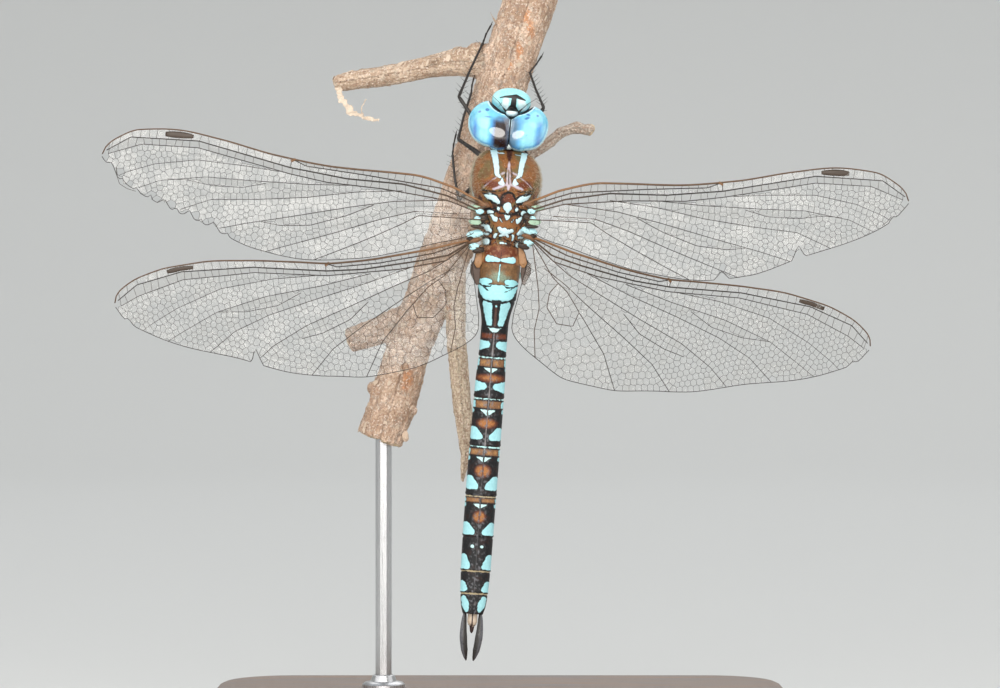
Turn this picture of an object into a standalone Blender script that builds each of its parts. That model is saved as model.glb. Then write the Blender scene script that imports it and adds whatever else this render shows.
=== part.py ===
"""Blue-eyed darner at life size, clinging head up to a forked branch on a display stand.

The insect hangs upright with its back towards -Y. X runs to its right and Z up, and the
origin is the middle of the stand's underside. Everything is modelled in millimetres, and
settle() turns the finished pieces into metres.
"""
import math

import bmesh
import bpy
from mathutils import Matrix, Vector

MM = 0.001
CUT = 0.10                        # gap between neighbouring pieces
DATUM = Vector((0.0, -7.0, 48.0))     # middle of the body, seen from the stand's origin

# Body. A run is the distance below the front of the wing-bearing thorax.
NECK_HEIGHT = 23.0                # height of run 0 above the datum
SPINE_SIDE = ((0.0, 1.0), (3.0, 0.72), (7.0, 0.6), (13.0, 0.0), (20.0, -0.55),
              (30.0, -1.37), (42.0, -2.35), (55.5, -3.27))
SPINE_DEPTH = ((0.0, 0.3), (3.0, 0.0), (13.0, 0.0), (23.0, 0.5), (36.0, 0.9),
               (47.5, 0.6), (55.5, -0.1))
BODY_ROLL = ((0.0, 4.5), (8.0, 4.5), (16.0, 0.0))       # degrees, towards the right
BODY_SIDES = 24

PROTHORAX = ((-0.4, 0.6, 0.25, 1.3), (-0.2, 1.2, 0.75, 2.2), (0.15, 1.6, 1.0, 2.6))
THORAX = ((0.27, 2.5, 1.7, 2.4), (0.9, 3.25, 2.4, 3.6), (1.9, 3.9, 3.3, 4.6),
          (3.6, 4.15, 4.25, 5.0), (5.4, 4.0, 4.45, 4.9), (7.3, 3.65, 4.0, 4.5),
          (9.5, 3.0, 3.45, 3.7), (11.4, 2.3, 2.5, 2.6))
THORAX_STEPS = 12
SHOULDER = 1.15
FLANK = 0.9

SEGMENT_ENDS = (11.5, 13.5, 17.8, 24.5, 29.4, 35.1, 41.0, 45.9, 50.0, 52.6, 55.0)
ABDOMEN_SIDES = 18
HALF_WIDTH = ((11.5, 2.35), (12.8, 2.6), (14.8, 2.5), (17.2, 2.35), (19.6, 1.8),
              (20.8, 1.66), (24.5, 1.68), (27.3, 1.82), (39.0, 1.9), (48.5, 1.85),
              (52.0, 1.72), (54.0, 1.53), (55.0, 1.25))
HALF_HEIGHT = ((11.5, 2.35), (13.5, 2.45), (16.0, 2.4), (17.8, 2.1), (19.6, 1.6),
               (21.5, 1.35), (24.5, 1.4), (29.5, 1.5), (39.0, 1.6), (48.5, 1.5),
               (52.0, 1.35), (55.0, 1.0))
RIM = 0.06                        # how far a segment's hind rim stands out

# Head, in its own frame of side, front and up (towards the back of the insect).
HEAD_CENTRE = (1.0, -0.4, 26.05)
HEAD_TURN = math.radians(5.5)     # clockwise as seen from behind the insect
EYE_CENTRE = (2.15, -0.1, 0.2)
EYE_RADII = (2.62, 2.8, 3.25)
EYE_NOTCH_FRONT = 0.4             # where the eyes part in front of their seam
EYE_NOTCH_SLOPE = 0.8
CAPSULE = ((0.0, -0.85, -1.2), (2.9, 1.6, 2.5))
VERTEX = ((0.0, 1.35, 1.25), (0.85, 0.5, 0.8))
FRONS = ((0.08, 2.86, 0.35), (2.34, 1.42, 1.5))
CLYPEUS = ((0.0, 2.55, -1.45), (2.0, 1.3, 1.0))
LABRUM = ((0.0, 1.95, -2.75), (1.7, 1.25, 0.95))
LABIUM = ((0.0, 0.2, -3.55), (2.0, 1.9, 0.75))
ANTENNA_ROUTE = ((0.7, 1.5, 2.15), (1.5, 2.1, 2.75), (2.6, 2.6, 2.4), (3.9, 3.7, 2.4))
FEELER_RADIUS = 0.25

# Wings: (distance out, distance forward) along each edge of the right-hand blade.
WING_THICKNESS = 0.5
WING_STEPS = 30
FOREWING_FRONT = ((-0.5, -0.1), (0.0, 0.0), (3.4, 1.2), (8.0, 2.0), (17.0, 1.8), (24.0, 2.3),
                  (31.0, 3.4), (36.0, 3.9), (40.7, 3.4), (43.4, 2.0), (44.6, 0.7), (44.8, 0.0))
FOREWING_REAR = ((-0.5, -2.6), (0.1, -4.0), (4.4, -5.7), (8.2, -7.1), (13.0, -8.5),
                 (20.0, -9.45), (25.4, -8.9), (31.6, -6.8), (38.7, -4.5), (42.8, -2.4),
                 (44.3, -0.9), (44.8, -0.3))
HINDWING_FRONT = ((-0.5, -0.1), (0.0, 0.0), (5.5, -0.25), (10.4, -0.25), (16.1, 0.1),
                  (20.8, 1.05), (26.7, 2.25), (32.2, 3.0), (36.0, 3.05), (39.6, 2.55),
                  (42.2, 1.5), (43.1, 0.6), (43.3, 0.0))
HINDWING_REAR = ((-0.5, -2.0), (0.1, -2.7), (0.3, -9.2), (0.7, -10.9), (1.8, -11.9),
                 (4.5, -13.0), (9.4, -14.2), (13.9, -14.1), (18.3, -13.2), (23.3, -11.9),
                 (29.7, -9.0), (35.7, -6.6), (40.1, -4.1), (42.4, -2.2), (43.3, -0.5))
SWELL_AT = 8.0                    # where the rear edge bulges at the base, and how far
SWELL_REACH = 12.0                # the bulge reaches either way
# Root (side, depth, height), turn above level and droop away from the back in degrees,
# bulge of the rear edge at the base, and the tears as (distance out, half width, depth).
WINGS = {
    "forewing_right": (1, (4.05, -3.0, 16.93), 0.1, 6.0, 0.0,
                       ((22.3, 0.9, 1.0), (31.5, 0.8, 1.6), (42.9, 0.5, 0.5))),
    "forewing_left": (-1, (-2.59, -3.4, 16.93), 7.1, 3.0, 0.0,
                      ((30.6, 0.9, 0.8), (33.7, 0.8, 0.8), (36.8, 0.9, 0.8), (43.5, 0.8, 0.9))),
    "hindwing_right": (1, (4.12, -2.2, 12.49), -17.5, 11.6, 0.7, ((41.8, 0.5, 0.5),)),
    "hindwing_left": (-1, (-3.75, -2.2, 12.2), -9.8, 7.7, -0.5,
                      ((27.4, 0.65, 2.0), (42.0, 0.5, 0.6))),
}

# Legs: coxa as (run, degrees round the thorax from the back), knee as (side, depth, height),
# then the ankle and the claws as (height, degrees round the branch from its near side).
LEG_SIDES = 8
COXA_LENGTH = 1.0
HIP_GAP = 0.5                     # from the thorax to the middle of the leg's first end
FEMUR_RADIUS = 0.36
TIBIA_RADIUS = 0.27
TARSUS_RADIUS = 0.25
ANKLE_CLEARANCE = 1.0             # from the bark to the middle of the leg
CLAW_CLEARANCE = 0.4
LEGS = {
    "fore_left": ((-0.05, -145), (-4.95, 5.3, 29.7), (35.4, -66), (37.8, -95)),
    "fore_right": ((-0.05, 145), (5.25, 5.3, 28.4), (33.8, 44), (36.3, 88)),
    "mid_left": ((0.8, -152), (-5.05, 7.2, 24.7), (29.5, -51), (31.4, -84)),
    "mid_right": ((0.8, 155), (4.0, 9.4, 21.8), (27.0, 56), (29.5, 95)),
    "hind_left": ((2.7, -155), (-5.0, 8.2, 17.4), (22.0, -49), (24.6, -92)),
    "hind_right": ((2.7, 155), (3.0, 9.0, 13.7), (19.0, 58), (21.6, 95)),
}

CERCUS_LENGTH = 5.5
CERCUS_SPREAD = 0.95
CERCUS_RADII = (0.3, 0.38, 0.38, 0.36, 0.25)
EPIPROCT_LENGTH = 2.1
EPIPROCT_RADII = (0.45, 0.42, 0.28)

# Branch: its axis runs behind the insect, with a fork and three side twigs.
BRANCH_DEPTH = 12.0
BRANCH_SIDES = 16
BRANCH_STEPS = 14
BRANCH_AXIS = ((-11.7, -14.7), (-6.8, -12.95), (-0.7, -11.2), (5.4, -8.8), (17.6, -4.3),
               (31.0, 0.0), (43.6, 4.2))
BRANCH_RADIUS = ((-11.7, 3.0), (0.0, 2.8), (12.0, 3.2), (31.0, 3.2), (43.6, 3.35))
TWIG_SIDES = 10
TWIGS = {
    "fork": (((-4.6, 11.6, 14.5), (-5.4, 10.6, 8.0), (-5.35, 10.3, 1.0), (-4.65, 10.2, -6.8),
              (-4.3, 10.2, -10.5), (-4.15, 10.2, -13.2), (-4.6, 10.2, -16.8)),
             (1.5, 1.4, 1.28, 1.25, 1.1, 0.8, 0.3)),
    "upper_left": (((1.0, 12.2, 34.2), (-5.2, 12.8, 34.5), (-8.7, 13.0, 33.9),
                    (-12.2, 13.0, 33.1), (-19.2, 13.0, 32.05), (-20.4, 13.0, 31.9)),
                   (2.0, 1.85, 1.48, 1.4, 1.25, 0.9)),
    "right": (((-2.0, 12.5, 22.5), (3.0, 12.8, 22.8), (6.1, 12.8, 24.7), (7.4, 12.8, 25.9),
               (9.2, 12.8, 26.4), (11.2, 12.8, 26.1)), (1.0, 0.95, 0.8, 0.75, 0.82, 0.8)),
    "lower_left": (((-8.0, 12.2, 5.0), (-12.5, 12.8, 2.6), (-16.0, 13.2, 1.2),
                    (-18.6, 13.6, 0.4)), (2.0, 1.9, 1.75, 1.65)),
}

# Stand
BASE_SIZE = (70.0, 44.0, 6.0)
BASE_CORNER = 9.0
BASE_EDGE = 0.9
ROD_RADIUS = 1.0
ROD_SIDE = -14.2
ROD_FOOT = 2.5                    # how high the rod starts above the base's underside
ROD_TOP = 39.3
BORE_DEPTH = 3.4


def place(side, depth, height):
    return DATUM + Vector((side, depth, height))


def smooth(table, x):
    """Value at x on a curve through (x, value) pairs that never swings past them."""
    last = len(table) - 1
    high = next((i for i in range(1, last) if x < table[i][0]), last)
    low = high - 1
    width = table[high][0] - table[low][0]

    def grade(i):
        return (table[i + 1][1] - table[i][1]) / (table[i + 1][0] - table[i][0])

    def tangent(i):
        if i in (0, last):
            return grade(min(i, last - 1))
        before, after = grade(i - 1), grade(i)
        if before * after <= 0.0:
            return 0.0
        return 2.0 * before * after / (before + after)

    t = min(max((x - table[low][0]) / width, 0.0), 1.0)
    start, end = table[low][1], table[high][1]
    return (start * (1 + 2 * t) * (1 - t) ** 2 + end * t * t * (3 - 2 * t)
            + width * t * (1 - t) * (tangent(low) * (1 - t) - tangent(high) * t))


def steps(start, end, count):
    return [start + (end - start) * i / count for i in range(count + 1)]


def material(name, colour, roughness, metallic=0.0):
    made = bpy.data.materials.get(name)
    if made is None:
        made = bpy.data.materials.new(name)
        made.use_nodes = True
        shader = made.node_tree.nodes["Principled BSDF"]
        shader.inputs["Base Color"].default_value = (*colour, 1.0)
        shader.inputs["Roughness"].default_value = roughness
        shader.inputs["Metallic"].default_value = metallic
    return made


def eye_blue():
    return material("eye", (0.10, 0.42, 0.85), 0.15)


def face_blue():
    return material("face", (0.42, 0.78, 0.86), 0.4)


def thorax_brown():
    return material("thorax", (0.36, 0.19, 0.07), 0.6)


def abdomen_dark():
    return material("abdomen", (0.10, 0.16, 0.19), 0.4)


def leg_black():
    return material("leg", (0.015, 0.013, 0.012), 0.4)


def wing_clear():
    return material("wing_membrane", (0.55, 0.52, 0.45), 0.2)


def bark():
    return material("bark", (0.52, 0.41, 0.32), 0.85)


def stand_wood():
    return material("stand_wood", (0.24, 0.13, 0.07), 0.45)


def stand_metal():
    return material("stand_metal", (0.62, 0.60, 0.57), 0.3, 1.0)


def add_object(name, mesh, finish):
    """A piece in its finish, or a hidden guide where there is none."""
    mesh.shade_smooth()
    mesh.set_sharp_from_angle(angle=math.radians(35))
    made = bpy.data.objects.new(name, mesh)
    if finish is None:
        made.hide_render = True
        made.display_type = 'WIRE'
    else:
        mesh.materials.append(finish)
    bpy.context.collection.objects.link(made)
    return made


def loft(name, rings, finish):
    """A closed solid through rings of points in order, with flat ends."""
    shell = bmesh.new()
    loops = [[shell.verts.new(point) for point in ring] for ring in rings]
    count = len(loops[0])
    for lower, upper in zip(loops, loops[1:]):
        for i in range(count):
            j = (i + 1) % count
            shell.faces.new((lower[i], lower[j], upper[j], upper[i]))
    shell.faces.new(loops[0][::-1])
    shell.faces.new(loops[-1])
    bmesh.ops.recalc_face_normals(shell, faces=shell.faces)
    mesh = bpy.data.meshes.new(name)
    shell.to_mesh(mesh)
    shell.free()
    return add_object(name, mesh, finish)


def circle(centre, along, radius, sides):
    aside = along.orthogonal().normalized()
    if abs(along.z) < 0.99:
        aside = along.cross(Vector((0, 0, 1))).normalized()
    across = along.cross(aside).normalized()
    turn = 2 * math.pi / sides
    return [centre + (aside * math.cos(turn * i) + across * math.sin(turn * i)) * radius
            for i in range(sides)]


def tube(name, points, radii, sides, finish):
    """A round bar through points, with a radius at each."""
    rings = []
    for i, point in enumerate(points):
        before = points[max(i - 1, 0)]
        after = points[min(i + 1, len(points) - 1)]
        inward = (point - before).normalized() if i else Vector()
        onward = (after - point).normalized() if i < len(points) - 1 else Vector()
        rings.append(circle(point, (inward + onward).normalized(), radii[i], sides))
    return loft(name, rings, finish)


def combine(target, operation, *tools):
    """Cut or join the target with guides."""
    for tool in tools:
        edit = target.modifiers.new(f"{operation.lower()}_{tool.name}", 'BOOLEAN')
        edit.operation = operation
        edit.object = tool
        edit.solver = 'EXACT'


# Body

def section(run):
    """Centre of the body at a run, with its directions to the right and to the back."""
    def centre(at):
        return place(smooth(SPINE_SIDE, at), smooth(SPINE_DEPTH, at), NECK_HEIGHT - at)

    ahead = 0.4
    tail = (centre(run + ahead) - centre(run - ahead)).normalized()
    right = Vector((0, -1, 0)).cross(tail).normalized()
    back = tail.cross(right)
    roll = math.radians(smooth(BODY_ROLL, run))
    rolled_back = back * math.cos(roll) + right * math.sin(roll)
    rolled_right = right * math.cos(roll) - back * math.sin(roll)
    return centre(run), rolled_right, rolled_back


def body_ring(run, sizes, sides, shoulder=1.0, flank=1.0):
    return [body_point(run, 2 * math.pi * i / sides, sizes, shoulder, flank)
            for i in range(sides)]


def body_point(run, angle, sizes, shoulder=1.0, flank=1.0):
    """A point on the body at an angle from the middle of the back, right side positive.

    Sizes are the half width, the rise to the back and the drop to the belly. A shoulder
    above 1 slopes the upper sides and a flank below 1 squares the lower ones.
    """
    centre, right, back = section(run)
    half_width, up, down = sizes
    across, rise = math.sin(angle), math.cos(angle)
    side = math.copysign(abs(across) ** (shoulder if rise > 0 else flank), across)
    return centre + right * side * half_width + back * rise * (up if rise > 0 else down)


def thorax_sizes(run):
    return [smooth([(row[0], row[k]) for row in THORAX], run) for k in (1, 2, 3)]


def build_thorax():
    front = [body_ring(row[0], row[1:], BODY_SIDES) for row in PROTHORAX]
    loft("prothorax", front, thorax_brown())
    rings = []
    for i in range(THORAX_STEPS + 1):
        share = (i / THORAX_STEPS) ** 1.3       # closer rings where the front swells
        run = THORAX[0][0] + (THORAX[-1][0] - THORAX[0][0]) * share
        rings.append(body_ring(run, thorax_sizes(run), BODY_SIDES, SHOULDER, FLANK))
    loft("synthorax", rings, thorax_brown())


def build_abdomen():
    for i, (start, end) in enumerate(zip(SEGMENT_ENDS, SEGMENT_ENDS[1:])):
        first, last = start + CUT / 2, end - CUT / 2
        rings = []
        for run in steps(first, last, 3 if end - start < 4.5 else 5):
            rim = RIM if run == last else 0.0
            half_height = smooth(HALF_HEIGHT, run) + rim
            sizes = (smooth(HALF_WIDTH, run) + rim, half_height, half_height)
            rings.append(body_ring(run, sizes, ABDOMEN_SIDES))
        loft(f"abdomen_s{i + 1:02d}", rings, abdomen_dark())


def build_tail():
    """The two claspers and the short plate between them."""
    end = SEGMENT_ENDS[-1] + CUT
    centre, right, back = section(end)
    tail = right.cross(back).normalized() * -1.0
    if tail.z > 0:
        tail = -tail
    for side, name in ((-1, "left"), (1, "right")):
        points = []
        for share in steps(0.0, 1.0, len(CERCUS_RADII) - 1):
            arch = math.sin(math.pi * share)
            spread = CERCUS_SPREAD - 0.55 * share ** 2 + 0.1 * arch
            points.append(centre + right * side * spread + tail * CERCUS_LENGTH * share
                          + back * (0.25 + 0.4 * arch))
        tube(f"cercus_{name}", points, CERCUS_RADII, LEG_SIDES, leg_black())
    plate = [centre + tail * EPIPROCT_LENGTH * share - back * (0.45 + 0.3 * share)
             for share in steps(0.0, 1.0, len(EPIPROCT_RADII) - 1)]
    tube("epiproct", plate, EPIPROCT_RADII, LEG_SIDES, abdomen_dark())


# Head

def head_point(side, front, up):
    ahead = Vector((math.sin(HEAD_TURN), 0, math.cos(HEAD_TURN)))
    right = Vector((math.cos(HEAD_TURN), 0, -math.sin(HEAD_TURN)))
    return place(*HEAD_CENTRE) + right * side + ahead * front + Vector((0, -up, 0))


def ellipsoid(name, centre, radii, finish=None, grow=0.0, meridians=18, parallels=10):
    """An ellipsoid in the head's frame with its poles in front and behind."""
    shell = bmesh.new()
    bmesh.ops.create_uvsphere(shell, u_segments=meridians, v_segments=parallels, radius=1.0)
    for vert in shell.verts:
        side, down, front = vert.co
        vert.co = head_point(centre[0] + side * (radii[0] + grow),
                             centre[1] + front * (radii[1] + grow),
                             centre[2] - down * (radii[2] + grow))
    mesh = bpy.data.meshes.new(name)
    shell.to_mesh(mesh)
    shell.free()
    return add_object(name, mesh, finish)


def prism(name, outline, low, high):
    """A guide block over an outline of (side, front) pairs in the head's frame."""
    rings = [[head_point(side, front, up) for side, front in outline] for up in (low, high)]
    return loft(name, rings, None)


def build_eye(side, name):
    centre = (side * EYE_CENTRE[0], EYE_CENTRE[1], EYE_CENTRE[2])
    eye = ellipsoid(f"eye_{name}", centre, EYE_RADII, eye_blue(), meridians=26, parallels=14)
    reach = 6.0
    seam = CUT / 2
    middle = prism(f"seam_{name}", ((side * seam, -reach), (side * seam, reach),
                                    (-side * reach, reach), (-side * reach, -reach)),
                   -reach, reach)
    notch = prism(f"notch_{name}",
                  ((-side * 0.5, EYE_NOTCH_FRONT - 0.5 * EYE_NOTCH_SLOPE),
                   (side * reach, EYE_NOTCH_FRONT + EYE_NOTCH_SLOPE * reach),
                   (side * reach, 3 * reach), (-side * 0.5, 3 * reach)),
                  -reach, reach)
    combine(eye, 'DIFFERENCE', middle, notch)


def build_face():
    """Capsule, vertex, frons, clypeus, labrum and labium, each cut clear of the ones before."""
    guides = [ellipsoid(f"guide_eye_{i}", (side * EYE_CENTRE[0], *EYE_CENTRE[1:]), EYE_RADII,
                        grow=CUT, meridians=26, parallels=14)
              for i, side in enumerate((-1, 1))]
    rows = (("frons", FRONS), ("clypeus", CLYPEUS), ("labrum", LABRUM), ("labium", LABIUM),
            ("head_capsule", CAPSULE), ("vertex", VERTEX))
    for name, (centre, radii) in rows:
        piece = ellipsoid(name, centre, radii, face_blue())
        if name in ("frons", "vertex"):
            combine(piece, 'DIFFERENCE', *guides[2:])
        else:
            combine(piece, 'DIFFERENCE', *guides)
        guides.append(ellipsoid(f"guide_{name}", centre, radii, grow=CUT))


def build_antennae():
    for side, name in ((-1, "left"), (1, "right")):
        points = [head_point(side * out, front, up) for out, front, up in ANTENNA_ROUTE]
        tube(f"antenna_{name}", points, (FEELER_RADIUS,) * 4, LEG_SIDES, leg_black())


# Wings

def wing_point(side, root, turn, droop, out, forward, lift):
    """A point of a blade: out along it, forward across it and lifted off its plane."""
    along = Vector((side * math.cos(turn) * math.cos(droop), math.sin(droop),
                    math.sin(turn) * math.cos(droop)))
    ahead = Vector((-side * math.sin(turn), 0, math.cos(turn)))
    face = Vector((0, -1, 0))
    off = (face - along * face.dot(along)).normalized()
    return place(*root) + along * out + ahead * forward + off * lift


def rear_edge(rear, swell, tears, out):
    """The rear edge at a distance out, with its bulge and the tears bitten out of it."""
    bulge = swell * max(0.0, 1 - abs(out - SWELL_AT) / SWELL_REACH)
    bite = max([depth * (1 - abs(out - at) / half) for at, half, depth in tears
                if abs(out - at) < half], default=0.0)
    return smooth(rear, out) - bulge + bite


def build_wing(name, front, rear):
    side, root, turn, droop, swell, tears = WINGS[name]
    turn, droop = math.radians(turn), math.radians(droop)
    span = front[-1][0]
    outs = {round(front[0][0] + (span - front[0][0]) * (i / WING_STEPS), 2)
            for i in range(WING_STEPS)}
    outs |= {0.1, 0.3, round(span - 0.5, 2), round(span - 0.2, 2), span}
    for at, half, _ in tears:
        outs -= {out for out in outs if abs(out - at) < half + 0.2}
        outs |= {at - half, at, at + half}
    half = WING_THICKNESS / 2
    rings = []
    for out in sorted(outs):
        lead, trail = smooth(front, out), rear_edge(rear, swell, tears, out)
        rings.append([wing_point(side, root, turn, droop, out, forward, lift)
                      for forward, lift in ((lead, half), (lead, -half),
                                            (trail, -half), (trail, half))])
    loft(name, rings, wing_clear())


# Legs

def clear_start(end, along, onward, radius_before, radius_after):
    """Where the next length of a leg starts, just clear of the end of the last one."""
    if along.dot(onward) >= 0:
        return end + along * (radius_after + CUT)
    aside = (onward - along * along.dot(onward)).normalized()
    return end + aside * (radius_before + radius_after + CUT)


def grip(height, degrees, clearance):
    """A point off the bark, at an angle round the branch from its near side."""
    def axis(at):
        return place(smooth(BRANCH_AXIS, at), BRANCH_DEPTH, at)

    along = (axis(height + 0.5) - axis(height - 0.5)).normalized()
    near = Vector((0, -1, 0))
    right = along.cross(near).normalized()
    angle = math.radians(degrees)
    reach = smooth(BRANCH_RADIUS, height) + clearance
    return axis(height) + (near * math.cos(angle) + right * math.sin(angle)) * reach


def build_leg(name):
    (run, degrees), knee, ankle, claws = LEGS[name]
    front = run < THORAX[0][0]
    sizes = PROTHORAX[-1][1:] if front else thorax_sizes(run)
    root = body_point(run, math.radians(degrees), sizes, SHOULDER, FLANK)
    centre = section(run)[0]
    outward = (root - centre).normalized()
    start = root + outward * HIP_GAP
    hip = root + outward * COXA_LENGTH
    knee = place(*knee)
    ankle, claws = grip(*ankle, ANKLE_CLEARANCE), grip(*claws, CLAW_CLEARANCE)
    tube(f"{name}_femur", [start, hip, hip.lerp(knee, 0.5), knee],
         (FEMUR_RADIUS * 1.2, FEMUR_RADIUS * 1.1, FEMUR_RADIUS, TIBIA_RADIUS),
         LEG_SIDES, leg_black())
    shin = clear_start(knee, (knee - hip).normalized(), (ankle - knee).normalized(),
                       TIBIA_RADIUS, TIBIA_RADIUS)
    tube(f"{name}_tibia", [shin, shin.lerp(ankle, 0.5), ankle],
         (TIBIA_RADIUS,) * 3, LEG_SIDES, leg_black())
    foot = clear_start(ankle, (ankle - shin).normalized(), (claws - ankle).normalized(),
                       TIBIA_RADIUS, TARSUS_RADIUS)
    tube(f"{name}_tarsus", [foot, foot.lerp(claws, 0.5), claws],
         (TARSUS_RADIUS,) * 3, LEG_SIDES, leg_black())


# Branch and stand

def build_branch():
    heights = steps(BRANCH_AXIS[0][0], BRANCH_AXIS[-1][0], BRANCH_STEPS)
    points = [place(smooth(BRANCH_AXIS, height), BRANCH_DEPTH, height) for height in heights]
    radii = [smooth(BRANCH_RADIUS, height) for height in heights]
    branch = tube("perch_branch", points, radii, BRANCH_SIDES, bark())
    for name, (route, radii) in TWIGS.items():
        points = [place(*point) for point in route]
        combine(branch, 'UNION', tube(f"guide_twig_{name}", points, radii, TWIG_SIDES, None))
    combine(branch, 'DIFFERENCE', rod("guide_bore", ROD_TOP - BORE_DEPTH - 3.0,
                                      ROD_TOP + CUT, ROD_RADIUS + CUT))


def rod(name, low, high, radius, finish=None):
    foot = Vector((ROD_SIDE, DATUM.y + BRANCH_DEPTH, 0))
    points = [foot + Vector((0, 0, height)) for height in (low, high)]
    return tube(name, points, (radius, radius), BRANCH_SIDES, finish)


def build_stand():
    width, depth, height = BASE_SIZE
    shell = bmesh.new()
    bmesh.ops.create_cube(shell, size=1.0)
    for vert in shell.verts:
        vert.co = Vector((vert.co.x * width, vert.co.y * depth, (vert.co.z + 0.5) * height))
    uprights = [edge for edge in shell.edges
                if abs(edge.verts[0].co.z - edge.verts[1].co.z) > height / 2]
    bmesh.ops.bevel(shell, geom=uprights, offset=BASE_CORNER, segments=7, profile=0.5,
                    affect='EDGES')
    top = [edge for edge in shell.edges
           if min(vert.co.z for vert in edge.verts) > height * 0.9]
    bmesh.ops.bevel(shell, geom=top, offset=BASE_EDGE, segments=2, profile=0.5,
                    affect='EDGES')
    mesh = bpy.data.meshes.new("stand_base")
    shell.to_mesh(mesh)
    shell.free()
    base = add_object("stand_base", mesh, stand_wood())
    combine(base, 'DIFFERENCE', rod("guide_socket", ROD_FOOT - CUT, height + 3.0,
                                    ROD_RADIUS + CUT))
    rod("stand_rod", ROD_FOOT, ROD_TOP, ROD_RADIUS, stand_metal())


def clear_scene():
    for old in list(bpy.data.objects):
        bpy.data.objects.remove(old)


def settle():
    """Apply the cuts and joins, drop the guides and turn millimetres into metres."""
    depsgraph = bpy.context.evaluated_depsgraph_get()
    pieces = [piece for piece in bpy.data.objects if not piece.hide_render]
    meshes = [bpy.data.meshes.new_from_object(piece.evaluated_get(depsgraph))
              for piece in pieces]
    for guide in [other for other in bpy.data.objects if other.hide_render]:
        bpy.data.objects.remove(guide)
    for piece, mesh in zip(pieces, meshes):
        piece.modifiers.clear()
        mesh.transform(Matrix.Scale(MM, 4))
        piece.data = mesh


def build():
    clear_scene()
    build_thorax()
    build_abdomen()
    build_tail()
    for side, name in ((-1, "left"), (1, "right")):
        build_eye(side, name)
    build_face()
    build_antennae()
    for name in WINGS:
        fore = name.startswith("forewing")
        build_wing(name, FOREWING_FRONT if fore else HINDWING_FRONT,
                   FOREWING_REAR if fore else HINDWING_REAR)
    for name in LEGS:
        build_leg(name)
    build_branch()
    build_stand()
    settle()


build()
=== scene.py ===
"""Looks of the blue-eyed darner on its cut branch: skin, head, wings, legs, down, bark, stand.

The insect hangs head up with its back towards -Y. Everything is modelled in millimetres in
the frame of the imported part, and piece() turns it into metres. A run is the distance below
the front of the wing-bearing thorax, and x the distance from the middle of the back.
"""

import math

import bmesh
import bpy
import numpy as np
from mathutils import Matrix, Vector, geometry, noise


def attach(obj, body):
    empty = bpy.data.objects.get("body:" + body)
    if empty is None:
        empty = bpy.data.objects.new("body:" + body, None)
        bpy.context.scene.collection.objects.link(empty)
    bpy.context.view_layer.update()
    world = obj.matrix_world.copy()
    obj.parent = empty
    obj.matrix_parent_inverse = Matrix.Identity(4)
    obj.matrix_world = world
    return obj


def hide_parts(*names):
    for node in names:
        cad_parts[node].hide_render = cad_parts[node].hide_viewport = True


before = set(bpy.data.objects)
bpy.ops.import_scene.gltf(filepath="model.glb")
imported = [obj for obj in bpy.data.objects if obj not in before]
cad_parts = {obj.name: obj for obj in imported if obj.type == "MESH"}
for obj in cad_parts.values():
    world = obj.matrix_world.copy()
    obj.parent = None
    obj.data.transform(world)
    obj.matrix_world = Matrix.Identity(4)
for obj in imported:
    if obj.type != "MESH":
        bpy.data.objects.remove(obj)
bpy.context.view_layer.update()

MM = 0.001
DATUM = np.array((0.0, -7.0, 48.0))     # middle of the body, seen from the stand's origin
RNG = np.random.default_rng(11)
FAR = 9.0                               # distance of a mark that isn't there

# Body, as in the part
NECK_HEIGHT = 23.0
SPINE_SIDE = ((0, 1), (3, 0.72), (7, 0.6), (13, 0), (20, -0.55), (30, -1.37), (42, -2.35),
              (55.5, -3.27))
SPINE_DEPTH = ((0, 0.3), (3, 0), (13, 0), (23, 0.5), (36, 0.9), (47.5, 0.6), (55.5, -0.1))
BODY_ROLL = ((0, 4.5), (8, 4.5), (16, 0))
BODY_END = 55.0
# run, half width, rise to the back, drop to the belly
BODY = ((-0.4, 0.6, 0.25, 1.3), (-0.2, 1.2, 0.75, 2.2), (0.15, 1.6, 1, 2.6),
        (0.27, 2.5, 1.7, 2.4), (0.9, 3.25, 2.4, 3.6), (1.9, 3.9, 3.3, 4.6),
        (3.6, 4.15, 4.25, 5), (5.4, 4, 4.45, 4.9), (7.3, 3.65, 4, 4.5), (9.5, 3, 3.45, 3.7),
        (11.4, 2.32, 2.45, 2.5), (12.8, 2.6, 2.42, 2.42), (14.8, 2.5, 2.43, 2.43),
        (17.2, 2.35, 2.2, 2.2), (19.6, 1.8, 1.6, 1.6), (20.8, 1.66, 1.41, 1.41),
        (24.5, 1.68, 1.4, 1.4), (27.3, 1.82, 1.46, 1.46), (39, 1.9, 1.6, 1.6),
        (48.5, 1.85, 1.5, 1.5), (52, 1.72, 1.35, 1.35), (54, 1.53, 1.14, 1.14),
        (55, 1.25, 1, 1))
SHOULDER = ((10.5, 1.15), (12.5, 1))    # power of the cross-section above the widest line
FLANK = ((10.5, 0.9), (12.5, 1))        # and below it
SEGMENT_ENDS = (11.5, 13.5, 17.8, 24.5, 29.4, 35.1, 41.0, 45.9, 50.0, 52.6, 55.0)
SKIN_INSET = 0.06
SKIN_RINGS = 470
SKIN_SIDES = 144


# Curves and marks

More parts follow.
